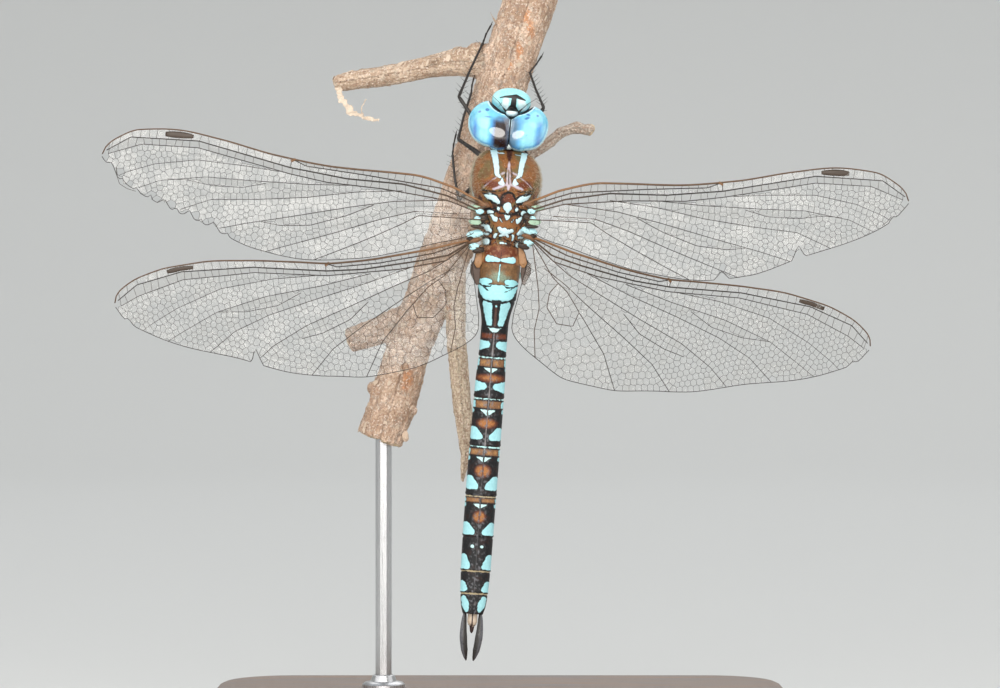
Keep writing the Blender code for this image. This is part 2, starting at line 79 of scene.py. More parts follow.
def smooth(table, x):
    """Values at x on a curve through (x, value) pairs that never swings past them."""
    xs, ys = np.array(table, float).T
    width = np.diff(xs)
    grade = np.diff(ys) / width
    before, after = grade[:-1], grade[1:]
    together = before * after > 0
    inner = np.where(together, 2 * before * after / np.where(together, before + after, 1), 0)
    tangent = np.concatenate(([grade[0]], inner, [grade[-1]]))
    x = np.asarray(x, float)
    i = np.clip(np.searchsorted(xs, x, side="right") - 1, 0, len(width) - 1)
    t = np.clip((x - xs[i]) / width[i], 0, 1)
    return (ys[i] * (1 + 2 * t) * (1 - t) ** 2 + ys[i + 1] * t * t * (3 - 2 * t)
            + width[i] * t * (1 - t) * (tangent[i] * (1 - t) - tangent[i + 1] * t))


def line(table, x):
    xs, ys = zip(*table)
    return np.interp(x, xs, ys)


def unit(vectors):
    return vectors / np.maximum(np.linalg.norm(vectors, axis=-1, keepdims=True), 1e-9)


def step_in(low, high, x):
    """0 below low, 1 above high and smooth between; high may be the smaller."""
    t = np.clip((x - low) / (high - low), 0, 1)
    return t * t * (3 - 2 * t)


def hump(x, centre, width):
    return np.exp(-((x - centre) / width) ** 2)


def blob(a, b, centre, radii, tilt=0.0):
    """Distance to the rim of an ellipse in the plane of a and b, negative inside."""
    da, db = a - centre[0], b - centre[1]
    turn = math.radians(tilt)
    along = da * math.cos(turn) + db * math.sin(turn)
    across = db * math.cos(turn) - da * math.sin(turn)
    return (np.sqrt((along / radii[0]) ** 2 + (across / radii[1]) ** 2) - 1) * min(radii)


def stroke(a, b, *route):
    """Distance to a stroke through (a, b, radius) points, negative inside."""
    best = np.full(np.shape(a), 1e3)
    for (a0, b0, r0), (a1, b1, r1) in zip(route, route[1:]):
        length2 = (a1 - a0) ** 2 + (b1 - b0) ** 2
        t = np.clip(((a - a0) * (a1 - a0) + (b - b0) * (b1 - b0)) / length2, 0, 1)
        away = np.hypot(a - a0 - t * (a1 - a0), b - b0 - t * (b1 - b0))
        best = np.minimum(best, away - r0 - t * (r1 - r0))
    return best


def patch(a, b, low, high, near, far, corner=0.1):
    """Distance to a round-cornered box from low to high in a and near to far in b."""
    da = np.abs(a - (low + high) / 2) - (high - low) / 2 + corner
    db = np.abs(b - (near + far) / 2) - (far - near) / 2 + corner
    return np.hypot(np.maximum(da, 0), np.maximum(db, 0)) + np.minimum(
        np.maximum(da, db), 0) - corner


def wedge(a, b, start, width, taper, middle, half, steepness):
    """Distance to a mark of a given width at its start, tapering along a, and cut off."""
    return np.maximum(b - width + taper * (a - start), np.abs(a - middle) - half) * steepness


def band(a, at, half):
    """Distance to a line straight across the body."""
    return np.abs(a - at) - half


def union(*distances):
    return np.minimum.reduce(distances)


def strokes(a, b, *routes):
    return union(*(stroke(a, b, *route) for route in routes))


def blobs(a, b, *ovals):
    return union(*(blob(a, b, *oval) for oval in ovals))


def soft(distance, width=0.12):
    """1 inside a mark and 0 outside, with a soft rim."""
    return step_in(width, -width, distance)


def painted(ground, *layers):
    """Lays (colour, share) layers over the ground, the lowest first."""
    for colour, share in layers:
        ground = ground + (np.array(colour) - ground) * np.clip(share, 0, 1)[:, None]
    return ground


# Meshes

class Shape:
    """Points and faces gathered for one piece."""

    def __init__(self, points=None, faces=()):
        self.points, self.faces, self.count = [], [], 0
        if points is not None:
            self.add(points, faces)

    def add(self, points, faces):
        points = np.asarray(points, float).reshape(-1, 3)
        self.points.append(points)
        self.faces += [[self.count + i for i in face] for face in faces]
        self.count += len(points)

    def mesh(self, name, scale=MM):
        made = bpy.data.meshes.new(name)
        made.from_pydata((np.concatenate(self.points) * scale).tolist(), [], self.faces)
        return made


def linked(name, data):
    """A new object in the scene."""
    made = bpy.data.objects.new(name, data)
    bpy.context.scene.collection.objects.link(made)
    return made


def piece(name, shape, finish, replaced=(), flat=False, values=None, sharp=None):
    """A finished piece that rides on the part, stands for CAD nodes and carries attributes."""
    mesh = shape.mesh(name)
    mesh.validate()
    if not flat:
        mesh.shade_smooth()
        if sharp:
            mesh.set_sharp_from_angle(angle=math.radians(sharp))
    mesh.materials.append(finish)
    for key, value in (values or {}).items():
        value = np.asarray(value, np.float32)
        if value.ndim == 1:
            mesh.attributes.new(key, 'FLOAT', 'POINT').data.foreach_set("value", value)
        else:
            tinted = np.concatenate((value, np.ones((len(value), 1), np.float32)), 1)
            made = mesh.attributes.new(key, 'FLOAT_COLOR', 'POINT')
            made.data.foreach_set("color", tinted.ravel())
    made = linked(name, mesh)
    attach(made, "root")
    if replaced:
        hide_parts(*replaced)
    return made


def grid_faces(rows, columns):
    """Quads between closed rows of points."""
    i, j = np.meshgrid(np.arange(rows - 1), np.arange(columns), indexing="ij")
    k = (j + 1) % columns
    return np.stack((i * columns + j, i * columns + k, (i + 1) * columns + k,
                     (i + 1) * columns + j), -1).reshape(-1, 4).tolist()


def capped(rows, columns):
    """Quads between closed rows of points, with a face over each end."""
    last = (rows - 1) * columns
    ends = [list(range(columns))[::-1], list(range(last, last + columns))]
    return grid_faces(rows, columns) + ends


def sweep(points, radii, sides=8, squash=1.0, up=(0, 1, 0)):
    """Rings and faces of a round bar through points, squashed along up."""
    points = np.asarray(points, float)
    radii = np.broadcast_to(np.asarray(radii, float), (len(points),))
    heading = unit(np.gradient(points, axis=0))
    aside = unit(np.cross(heading, np.asarray(up, float)))
    lifted = np.cross(aside, heading)
    angle = 2 * np.pi * np.arange(sides) / sides
    rings = (points[:, None] + radii[:, None, None]
             * (aside[:, None] * np.cos(angle)[None, :, None]
                + lifted[:, None] * np.sin(angle)[None, :, None] * squash))
    return rings.reshape(-1, 3), capped(len(points), sides)


def rods(starts, ends, radius, sides=3):
    """Many short straight bars as one list of points and faces."""
    starts, ends = np.asarray(starts, float), np.asarray(ends, float)
    heading = unit(ends - starts)
    aside = unit(np.cross(heading, (0.0, 1.0, 0.0)) + 1e-9)
    lifted = np.cross(aside, heading)
    angle = 2 * np.pi * np.arange(sides) / sides
    ring = radius * (aside[:, None] * np.cos(angle)[None, :, None]
                     + lifted[:, None] * np.sin(angle)[None, :, None])
    points = np.stack((starts[:, None] + ring, ends[:, None] + ring), 1)
    pattern = capped(2, sides)
    faces = [[k * 2 * sides + i for i in face] for k in range(len(starts)) for face in pattern]
    return points.reshape(-1, 3), faces


def resample(points, spacing):
    """Points evenly spaced along a polyline, ends kept."""
    points = np.asarray(points, float)
    legs = np.linalg.norm(np.diff(points, axis=0), axis=1)
    reach = np.concatenate(([0], np.cumsum(legs)))
    count = max(2, int(round(reach[-1] / spacing)) + 1)
    at = np.linspace(0, reach[-1], count)
    return np.stack([np.interp(at, reach, points[:, k]) for k in range(points.shape[1])], 1)


def rough(points, scale, detail=3, seed=0.0):
    """Fractal noise at points in millimetres, about -1 to 1."""
    shift = Vector((seed, seed * 0.7, -seed))
    return np.array([noise.fractal(Vector(p) * scale + shift, 1.0, 2.0, detail)
                     for p in points])


# Materials

class Finish:
    """A material; its methods add nodes and give their output sockets."""

    def __init__(self, name):
        self.made = bpy.data.materials.new(name)
        self.made.use_nodes = True
        self.tree = self.made.node_tree

    def set(self, socket, value):
        """Links a socket to another or gives it a constant; colours may be without alpha."""
        if isinstance(value, bpy.types.NodeSocket):
            self.tree.links.new(value, socket)
        elif socket.type == 'RGBA':
            socket.default_value = (*value, 1.0)
        else:
            socket.default_value = value

    def node(self, kind, values, **settings):
        """A node with its settings, and values by input name or number."""
        made = self.tree.nodes.new(kind)
        for key, value in settings.items():
            setattr(made, key, value)
        for key, value in values.items():
            self.set(made.inputs[key], value)
        return made

    def place(self, stretch=(1, 1, 1)):
        """Object coordinates in millimetres, stretched along each axis."""
        where = self.node("ShaderNodeTexCoord", {}).outputs["Object"]
        scale = [s / MM for s in stretch]
        return self.node("ShaderNodeMapping", {"Vector": where, "Scale": scale}).outputs[0]

    def noise(self, scale, detail=3, stretch=(1, 1, 1), roughness=0.55):
        return self.node("ShaderNodeTexNoise",
                         {"Vector": self.place(stretch), "Scale": scale, "Detail": detail,
                          "Roughness": roughness}).outputs["Fac"]

    def cells(self, scale):
        return self.node("ShaderNodeTexVoronoi",
                         {"Vector": self.place(), "Scale": scale}).outputs["Distance"]

    def between(self, value, low, high, to_low=0.0, to_high=1.0):
        return self.node("ShaderNodeMapRange",
                         {"Value": value, "From Min": low, "From Max": high, "To Min": to_low,
                          "To Max": to_high}, interpolation_type='SMOOTHSTEP').outputs[0]

    def vary(self, scale, detail, to_low, to_high):
        """Noise brought to a range."""
        return self.between(self.noise(scale, detail), 0.3, 0.7, to_low, to_high)

    def calc(self, operation, first, second):
        return self.node("ShaderNodeMath", {0: first, 1: second},
                         operation=operation).outputs[0]

    def blend(self, share, first, second, **settings):
        """First colour where share is 0 and second where it is 1."""
        return self.node("ShaderNodeMix", {0: share, 6: first, 7: second},
                         data_type='RGBA', **settings).outputs[2]

    def carried(self, name):
        """The node of an attribute that the mesh carries."""
        return self.node("ShaderNodeAttribute", {}, attribute_name=name)

    def value(self, name):
        return self.carried(name).outputs["Fac"]

    def colour(self, name="ground"):
        return self.carried(name).outputs["Color"]

    def inside(self, distance, softness):
        """1 where a marked distance is below zero, soft at its rim."""
        return self.between(distance, -softness, softness, 1.0, 0.0)

    def done(self, bump=None, **sockets):
        """The material, with the shader's sockets set.

        A bump is a height, how many millimetres it stands for and its strength.
        """
        shader = self.tree.nodes["Principled BSDF"]
        for key, value in sockets.items():
            self.set(shader.inputs[key.replace("_", " ").title().replace("Ior", "IOR")], value)
        if bump:
            height, distance, strength = bump
            raised = self.node("ShaderNodeBump", {"Height": height, "Distance": distance * MM,
                                                  "Strength": strength})
            self.set(shader.inputs["Normal"], raised.outputs[0])
        return self.made


# Melted solids

def globe(centre, radii, columns=48, rows=32):
    """Points and faces of an ellipsoid with its poles on the first axis."""
    ball = bmesh.new()
    bmesh.ops.create_uvsphere(ball, u_segments=columns, v_segments=rows, radius=1.0)
    points, faces = drained(ball)
    return points[:, (2, 1, 0)] * radii + centre, faces


def drained(ball):
    """Points and faces of a bmesh, which is freed."""
    ball.verts.index_update()
    points = np.array([tuple(vert.co) for vert in ball.verts])
    faces = [[vert.index for vert in face.verts] for face in ball.faces]
    ball.free()
    return points, faces


def melted(shape, voxel, rounds):
    """One closed skin round overlapping solids, evened out; gives its points and faces."""
    made = linked("melting", shape.mesh("melting", 1.0))
    remesh = made.modifiers.new("melt", 'REMESH')
    remesh.mode = 'VOXEL'
    remesh.voxel_size = voxel
    shaped = made.evaluated_get(bpy.context.evaluated_depsgraph_get())
    skin = shaped.to_mesh()
    points = np.empty(len(skin.vertices) * 3)
    skin.vertices.foreach_get("co", points)
    points = points.reshape(-1, 3)
    edges = np.empty(len(skin.edges) * 2, int)
    skin.edges.foreach_get("vertices", edges)
    faces = [list(face.vertices) for face in skin.polygons]
    shaped.to_mesh_clear()
    mesh = made.data
    bpy.data.objects.remove(made)
    bpy.data.meshes.remove(mesh)
    start, end = edges.reshape(-1, 2).T
    count = np.bincount(edges, minlength=len(points)).astype(float)[:, None]
    for _ in range(rounds):
        total = np.zeros_like(points)
        np.add.at(total, start, points[end])
        np.add.at(total, end, points[start])
        points = 0.4 * points + 0.6 * total / np.maximum(count, 1)
    return points, faces


# Body skin

ORANGE_BROWN = (0.27, 0.11, 0.034)
OLIVE = (0.15, 0.115, 0.045)
RED_BROWN = (0.15, 0.038, 0.015)
DARK_RED = (0.05, 0.014, 0.009)
LILAC = (0.55, 0.49, 0.56)
BLACK = (0.007, 0.007, 0.008)
PEACH = (0.5, 0.25, 0.1)
BLOCK_BROWN = (0.23, 0.11, 0.05)
AMBER = (0.38, 0.15, 0.04)
GOLD_BROWN = (0.42, 0.22, 0.08)
SPOT_WHITE = (0.62, 0.8, 0.85)
SPOT_CYAN = (0.35, 0.68, 0.73)
MIDDLE_SEGMENTS = (
    # number, brown block and its half-width, triangles, blobs and their near edge as shares
    # of the length, then the length and width of the orange oval
    (3, (0.06, 0.23, 1.5), (0.27, 0.38), (0.56, 0.84, 0.42), (0.36, 1.35)),
    (4, (0.06, 0.2, 1.55), (0.24, 0.36), (0.6, 0.87, 0.5), (0.5, 1)),
    (5, (0.06, 0.18, 1.72), (0.22, 0.32), (0.6, 0.88, 0.52), (0.66, 0.85)),
    (6, (0.06, 0.16, 1.74), (0.2, 0.3), (0.64, 0.95, 0.55), (0.6, 0.66)),
)


def body_frame(run):
    """Centres of the body at runs, with directions to the right and to the back."""
    def centre(at):
        offset = np.stack((smooth(SPINE_SIDE, at), smooth(SPINE_DEPTH, at),
                           NECK_HEIGHT - at), -1)
        return DATUM + offset

    run = np.asarray(run, float)
    tail = unit(centre(run + 0.4) - centre(run - 0.4))
    right = unit(np.cross(np.array((0.0, -1.0, 0.0)), tail))
    back = np.cross(tail, right)
    roll = np.radians(smooth(BODY_ROLL, run))[..., None]
    return (centre(run), right * np.cos(roll) - back * np.sin(roll),
            back * np.cos(roll) + right * np.sin(roll))


def body_sizes(run):
    return [smooth([(row[0], row[k]) for row in BODY], run) for k in (1, 2, 3)]


def body_points(run, angle, lift=0.0):
    """Points on the body at runs and angles from the middle of the back."""
    centre, right, back = body_frame(run)
    half_width, up, down = body_sizes(run)
    across, rise = np.sin(angle), np.cos(angle)
    power = np.where(rise > 0, line(SHOULDER, run), line(FLANK, run))
    side = np.sign(across) * np.abs(across) ** power * (half_width + lift)
    height = rise * (np.where(rise > 0, up, down) + lift)
    return centre + right * side[..., None] + back * height[..., None]


def fold(angle):
    """Degrees from the middle of the back, whichever the side."""
    return np.degrees(np.abs((angle + np.pi) % (2 * np.pi) - np.pi))


def spread(run, folded):
    """Distance from the middle of the back, folded out below the widest line."""
    half_width = body_sizes(run)[0]
    power = np.where(folded < 90, line(SHOULDER, run), line(FLANK, run))
    lateral = half_width * np.abs(np.sin(np.radians(folded))) ** power
    return np.where(folded < 90, lateral, 2 * half_width - lateral)


def thorax_marks(run, x):
    """Distances to the pale marks, the lilac ridge and the raised plates of the thorax."""
    stripes = np.maximum(0.36 - run, stroke(
        run, x, (0, 1.95, 0.42), (0.9, 1.82, 0.38), (2.3, 1.5, 0.3), (3.1, 1.38, 0.27),
        (3.5, 0.95, 0.1)))
    collar = np.maximum(0.6 - run, stroke(run, x, (0.9, 0.62, 0.06), (0.85, 1.3, 0.08)))
    corners = stroke(run, x, (3.65, 0.8, 0.12), (4.2, 0.72, 0.24), (4.15, 1.05, 0.16))
    raised = union(
        strokes(run, x,
                ((5.55, 2.65, 0.26), (5.85, 2, 0.4), (6.3, 1.2, 0.2)),
                ((5.5, 2.3, 0.2), (5.75, 1.6, 0.15)),
                ((8, 1.85, 0.16), (8.45, 1.45, 0.26), (8.35, 1.3, 0.2)),
                ((8.3, 0.85, 0.07), (8.65, 0.62, 0.06)),
                ((6.75, 2.7, 0.1), (6.95, 2.95, 0.14)),
                ((9.3, 2.8, 0.16), (9.55, 2.2, 0.34), (9.85, 1.8, 0.18)),
                ((10.15, 2.5, 0.13), (10.25, 1.95, 0.12)),
                ((9.55, 0.85, 0.22), (9.7, 0.5, 0.3)),
                ((10.1, 0.3, 0.14), (10.35, 0.55, 0.13)),
                ((10.15, 1.05, 0.17), (10.55, 1.2, 0.15)),
                ((11.1, 0, 0.13), (11.08, 0.36, 0.08))),
        blobs(run, x,
              ((6.95, 0), (0.5, 0.58)), ((7.55, 2.15), (0.28, 0.42), 12),
              ((7.15, 1.12), (0.24, 0.17), -20), ((9.85, 0), (0.46, 0.42)),
              ((11.1, 2.08), (0.33, 0.48), 10)),
        wedge(run, x, 7.0, 0.62, 0.85, 7.25, 0.35, 0.7),
        wedge(run, x, 7.85, 0.4, 0.5, 8.15, 0.33, 0.8))
    ridge = strokes(run, x,
                    ((1.9, 0, 0.02), (2.2, 0, 0.14), (2.45, 0, 0.1), (2.6, 0, 0.06)),
                    ((2.6, 0.12, 0.05), (3.4, 0.16, 0.07), (4.4, 0.2, 0.13)),
                    ((4.35, 0.42, 0.1), (4.6, 1, 0.17), (4.85, 1.75, 0.1)),
                    ((4.5, 0, 0.2), (4.9, 0, 0.1)),
                    ((2.95, 0.5, 0.07), (3.15, 1, 0.07), (3.75, 1.9, 0.05), (4.65, 2.95, 0.045)))
    return union(stripes, collar, corners, raised), ridge, raised


def thorax_seams(run, x):
    """Distance to the dark grooves between the plates of the thorax."""
    return strokes(run, x,
                   ((2.5, 0.3, 0.05), (3.4, 0.42, 0.06), (4.15, 0.42, 0.04)),
                   ((3, 0, 0.03), (4.3, 0, 0.035)),
                   ((4.95, 0.45, 0.05), (5.15, 1.5, 0.07), (4.95, 3.1, 0.09)),
                   ((3.3, 1.3, 0.04), (3.9, 2.3, 0.04), (4.75, 3.15, 0.06)),
                   ((5.2, 0, 0.16), (5.45, 0.6, 0.1), (6.1, 0.95, 0.08), (6.8, 0.8, 0.07)),
                   ((5.3, 3.1, 0.1), (5.6, 1.5, 0.06), (6.15, 0.9, 0.08)),
                   ((6.05, 2.6, 0.1), (6.45, 1.7, 0.12), (6.75, 1, 0.1)),
                   ((7, 1.5, 0.1), (7.3, 2.75, 0.14)),
                   ((7.1, 1.55, 0.08), (7.75, 1.65, 0.08), (8, 2.6, 0.09)),
                   ((7.7, 0.15, 0.1), (7.7, 0.8, 0.11), (7.5, 1.5, 0.09)),
                   ((7.9, 2.6, 0.1), (8.6, 2.2, 0.08), (9, 2, 0.07), (9.1, 3, 0.1)),
                   ((9.1, 1.5, 0.07), (9.9, 1.5, 0.08), (10.6, 1.55, 0.07)),
                   ((9.95, 3, 0.09), (10.6, 2.5, 0.14), (10.75, 1.6, 0.1), (11.4, 1.5, 0.1)),
                   ((10.65, 0, 0.06), (10.8, 0.8, 0.08), (11.4, 1.3, 0.06)))


def front_marks(run, x):
    """Distances to the pale and the dark marks of the first three segments."""
    pale = union(strokes(run, x,
                         ((13.12, 0.08, 0.15), (13.05, 0.9, 0.31), (13.02, 1.45, 0.4)),
                         ((13.6, 0, 0.05), (15.5, 0, 0.08)),
                         ((18.2, 1.1, 0.6), (19.2, 0.95, 0.5), (20.6, 0.7, 0.33)),
                         ((23.05, 0.78, 0.42), (23.2, 1.75, 0.62))),
                 blobs(run, x, ((15.62, 1.62), (0.36, 0.86), -6), ((18.45, 0), (0.13, 0.12))),
                 patch(run, x, 15.95, 17.72, -2, 2.55 - 0.42 * (run - 15.9), 0.3),
                 wedge(run, x, 21.05, 0.78, 1.1, 21.3, 0.24, 0.8))
    dark = union(strokes(run, x,
                         ((15.9, 2.35, 0.08), (16.15, 1.9, 0.09), (16.2, 1.2, 0.1),
                          (16.02, 0.72, 0.06)),
                         ((16.3, 1.75, 0.05), (16.62, 1.2, 0.07), (16.72, 0.85, 0.03)),
                         ((17.3, 2.1, 0.1), (17.8, 1.5, 0.1), (18, 0.6, 0.13), (18, 0, 0.16)),
                         ((12.2, 0, 0.03), (13.5, 0, 0.04)),
                         ((21.6, 0.14, 0.05), (23.2, 0.26, 0.07), (24.2, 0.5, 0.05))),
                 patch(run, x, 20.8, 20.98, -1, 9, 0.05))
    return pale, dark


def segment_span(index):
    return SEGMENT_ENDS[index], SEGMENT_ENDS[index + 1] - SEGMENT_ENDS[index]


def middle_marks(run, x, index, brown, triangles, bright, oval):
    """Distances to the marks of a middle segment: rim, block, spots, orange and cross line."""
    start, length = segment_span(index)

    def at(share):
        return start + share * length

    block_top, block_end, block_width = brown
    block = patch(run, x, at(block_top), at(block_end), 0.14, block_width, 0.1)
    corner = patch(run, x, at(block_top), at(block_end), block_width + 0.02, 1.95, 0.12)
    reach = (triangles[1] - triangles[0]) * length
    triangle = np.maximum(
        patch(run, x, at(triangles[0]), at(triangles[1]), 0.1, 0.95, 0.04),
        (x - 0.95 + 0.75 * (run - start - triangles[0] * length) / reach * 1.1) * 0.8)
    low_spot = blob(run, x, (at(triangles[0] + 0.03), 1.95), (0.3, 0.28))
    if oval[1] > 1.2:
        middle = at((bright[0] + bright[1]) / 2)
        spot = stroke(run, x, (middle + 0.05, 0.8, 0.4), (middle + 0.1, 1.75, 0.66))
    else:
        narrowing = 0.75 * step_in(bright[1] - 0.06, bright[0], (run - start) / length)
        spot = patch(run, x, at(bright[0]), at(bright[1]), bright[2] - 0.12 + narrowing, 1.95,
                     0.34)
    orange = blob(run, x, (at((triangles[1] + bright[0] + 0.08) / 2), 0), oval)
    return (band(run, start + 0.09, 0.07), block, union(corner, triangle, low_spot, spot),
            orange, band(run, at(block_end + 0.02), 0.06))


def end_marks(run, x):
    """Distances to the pale marks and the gold rims of the last three segments."""
    pale = union(blob(run, x, (47, 0.58), (0.19, 0.22)),
                 patch(run, x, 47.95, 49.75, 0.72 + 0.5 * step_in(49.4, 48, run), 1.95, 0.3),
                 patch(run, x, 51.1, 52.4, 0.85 + 0.4 * step_in(52.2, 51.1, run), 1.9, 0.3),
                 stroke(run, x, (53.2, 1.25, 0.32), (53.9, 0.98, 0.46), (54.55, 0.8, 0.26)))
    return pale, union(band(run, 49.98, 0.08), band(run, 52.62, 0.09))


def thorax_ground(run, x, turn, mottle, fine):
    """Colour of the thorax."""
    thorax = step_in(11.8, 11.3, run)
    wing_bases = step_in(4.9, 5.5, run) * thorax
    shaded = mottle + 0.35 * hump(x, 1, 0.5) * step_in(4, 1, run) - 0.1
    collar = stroke(run, x, (-0.4, 0, 0.5), (0.6, 0, 0.36), (1.3, 0, 0.3), (2, 0, 0.05))
    return painted(
        np.tile(np.array(ORANGE_BROWN), (len(run), 1)),
        (OLIVE, step_in(-0.12, 0.25, shaded) * 0.85),
        (RED_BROWN, step_in(0.1, 0.45, fine) * 0.45),
        (RED_BROWN, soft(blob(run, x, (4.3, 1.9), (0.42, 1), 10), 0.15)),
        (BLACK, step_in(0.4, 0.28, run) * 0.9),
        (DARK_RED, soft(collar, 0.08)),
        (RED_BROWN, soft(blob(run, x, (5.95, 0), (0.62, 0.95)), 0.2)),
        (RED_BROWN, wing_bases * step_in(-0.25, 0.3, fine) * 0.9),
        (BLACK, wing_bases * step_in(0.12, 0.4, -mottle + fine * 0.5) * 0.75),
        (ORANGE_BROWN, soft(blob(run, x, (8.95, 0), (0.45, 1.5)), 0.25)),
        ((0.2, 0.14, 0.08), step_in(100, 125, turn) * thorax * 0.7))


def abdomen_ground(ground, run, x, mottle, fine):
    """The same ground with the abdomen coloured, apart from what is crisp."""
    first = step_in(11.3, 11.8, run) * step_in(18, 17.6, run)
    second = step_in(13.45, 13.6, run) * step_in(18, 17.6, run)
    return painted(
        ground,
        (RED_BROWN, first),
        ((0.42, 0.22, 0.11), first * step_in(0, 0.35, fine + 0.4 * mottle)
         * step_in(13.6, 13.2, run) * 0.6),
        (PEACH, soft(blob(run, x, (12.9, 2.55), (1.15, 0.55)), 0.2) * first),
        ((0.17, 0.09, 0.04), second),
        ((0.3, 0.15, 0.06), second * step_in(-0.1, 0.3, fine) * 0.6),
        ((0.22, 0.3, 0.22), second * soft(blob(run, x, (15, 0), (0.6, 1.1)) + 0.25 * fine, 0.3)
         * 0.85),
        (BLACK, second * step_in(2.35, 2.75, x + 0.35 * (run - 16.5))),
        (BLACK, step_in(15.85, 16, run)),
        ((0.09, 0.045, 0.035), soft(stroke(run, x, (18.3, 0, 0.12), (20.7, 0, 0.16)), 0.06)),
        (RED_BROWN, soft(patch(run, x, 21.75, 22.3, -2, 1.5, 0.1), 0.1)),
        ((0.035, 0.012, 0.008), step_in(0.1, 0.5, fine) * step_in(18, 18.5, run) * 0.5))


def paint_body(run, x, turn, points):
    """Ground colour, spot colour and the distances to the crisp marks of the skin.

    x is the distance from the middle of the back, folded out below the widest line, and
    turn the angle from the back in degrees.
    """
    mottle = rough(points, 0.55, 4)
    fine = rough(points, 1.7, 3, 5.0)
    ground = thorax_ground(run, x, turn, mottle, fine)
    ground = abdomen_ground(ground, run, x, mottle, fine)

    jag = 0.13 * step_in(4.9, 5.5, run)
    jagged_x = x + jag * rough(points, 1.5, 3, 21.0)
    jagged_run = run + jag * rough(points, 1.5, 3, 33.0)
    pale, ridge, raised = thorax_marks(jagged_run, jagged_x)
    outline = np.where((run > 4.9) & (run < 11.9), np.abs(raised - 0.05) - 0.035, FAR)
    front_pale, dark = front_marks(run, x)
    dark = np.where(run > 11.9, dark, union(thorax_seams(jagged_run, jagged_x), outline))
    end_pale, gold = end_marks(run, x)
    pale = union(np.where(run < 11.9, pale, FAR), np.where(run > 11.9, front_pale, FAR),
                 np.where(run > 46.2, end_pale, FAR))
    pale_rims, upper = np.full(len(run), FAR), np.zeros(len(run))
    for index, *shape in MIDDLE_SEGMENTS:
        start, length = segment_span(index)
        here = (run > start - 0.1) & (run < start + length + 0.2)
        rim, block, spots, orange, across = middle_marks(run, x, index, *shape)
        if index < 6:
            pale_rims = np.where(here, union(pale_rims, rim), pale_rims)
        else:
            gold = np.where(here, union(gold, rim), gold)
        dark = np.where(here, union(dark, across), dark)
        pale = np.where(here & (run < start + length - 0.05), union(pale, spots), pale)
        ground = painted(
            ground,
            (BLOCK_BROWN, here * soft(block, 0.06)),
            (GOLD_BROWN, here * soft(block + 0.2, 0.2) * step_in(-0.4, 0.2, fine)),
            (RED_BROWN, here * soft(orange - 0.12, 0.16) * 0.9),
            (AMBER, here * soft(orange + 0.06 + 0.1 * fine, 0.14) * step_in(0.05, 0.16, x)))
        triangle = start + sum(shape[1]) / 2 * length
        upper += step_in(0.45, 0.3, np.abs(run - triangle) / 1.4)
    # A painted highlight: a pale line along the keel of the middle segments, widest at their ends.
    carina_highlight = stroke(run, x, (20.8, 0, 0.02), (23.2, 0, 0.05), (24.2, 0, 0.1), (24.7, 0, 0.03),
                    (28.4, 0, 0.04), (29.2, 0, 0.1), (29.8, 0, 0.03), (34.4, 0, 0.045),
                    (35, 0, 0.12), (35.8, 0, 0.06), (36.3, 0, 0.02))
    tail_carina = stroke(run, x, (36.3, 0, 0.03), (52.4, 0, 0.03))
    # Pale grey flecks along the middle of the back: partly dust, partly a painted sheen.
    dust_and_sheen = step_in(0.05, 0.5, rough(points, 3.2, 2, 44.0)) * step_in(20.5, 22, run)
    ground = painted(
        ground,
        # the painted highlight along the keel
        ((0.34, 0.31, 0.31), soft(carina_highlight, 0.05) * (run > 18) * 0.8),
        ((0.1, 0.095, 0.1), soft(tail_carina, 0.06) * 0.6),
        # the flecks of dust and painted sheen
        ((0.15, 0.15, 0.165), dust_and_sheen * hump(x, 0.15, 0.75) * 0.8),
        ((0.12, 0.11, 0.11), soft(blob(run, x, (53.8, 0), (0.5, 0.3)), 0.2)
         * step_in(-0.1, 0.3, fine)),
        ((0.06, 0.035, 0.02), step_in(140, 165, turn) * step_in(17, 18.5, run)))
    side_stripes = strokes(run, turn / 28,
                           ((1.2, 3.35, 0.12), (3.6, 3.5, 0.24), (5.6, 3.15, 0.2)),
                           ((4.6, 4.2, 0.1), (7.2, 3.9, 0.28), (9.2, 3.3, 0.2)))
    pale = union(pale, pale_rims, np.where(run < 11, side_stripes, FAR))
    ridge = np.where(run > 18, FAR, ridge)
    upper += step_in(0.4, 0.3, np.abs(run - 21.3)) + step_in(0.4, 0.3, np.abs(run - 47))
    triangles = step_in(0.95, 0.75, x) * step_in(20.8, 21, run) * np.clip(upper, 0, 1)
    spot = painted(
        np.tile(np.array(SPOT_CYAN), (len(run), 1)),
        (SPOT_WHITE, step_in(13.8, 12.5, run)),
        ((0.38, 0.8, 0.85), step_in(12, 14, run) * step_in(18, 17, run)),
        ((0.55, 0.84, 0.82), soft(pale_rims - 0.05, 0.05)),
        ((0.62, 0.85, 0.84), triangles * 0.8))
    return ground, spot, {"pale": pale, "dark": dark, "gold": gold, "ridge": ridge}, raised


def skin_material():
    look = Finish("skin_of_body")
    wobble = look.between(look.noise(2.6, 4), 0.25, 0.75, -0.05, 0.05)

    def mask(name, softness):
        return look.inside(look.calc('ADD', look.value(name), wobble), softness)

    grain = look.vary(7, 5, 0.72, 1.22)
    varied = look.blend(1.0, look.colour(), grain, blend_type='MULTIPLY')
    cloud = look.between(look.noise(3.2, 3), 0.35, 0.7, 0.0, 0.35)
    tinted = look.blend(cloud, look.colour("spot"), (0.5, 0.88, 0.93))
    rim_shade = look.inside(look.calc('ADD', look.value("pale"), -0.05), 0.05)
    colour = look.blend(look.calc('MULTIPLY', rim_shade, 0.75), varied, BLACK)
    for share, paint in ((mask("ridge", 0.09), LILAC), (mask("pale", 0.03), tinted),
                         (mask("dark", 0.025), BLACK), (mask("gold", 0.03), (0.42, 0.34, 0.21))):
        colour = look.blend(share, colour, paint)
    return look.done((look.noise(9, 6), 0.05, 0.6), base_color=colour, specular_ior_level=0.32,
                     roughness=look.vary(5, 4, 0.34, 0.56))


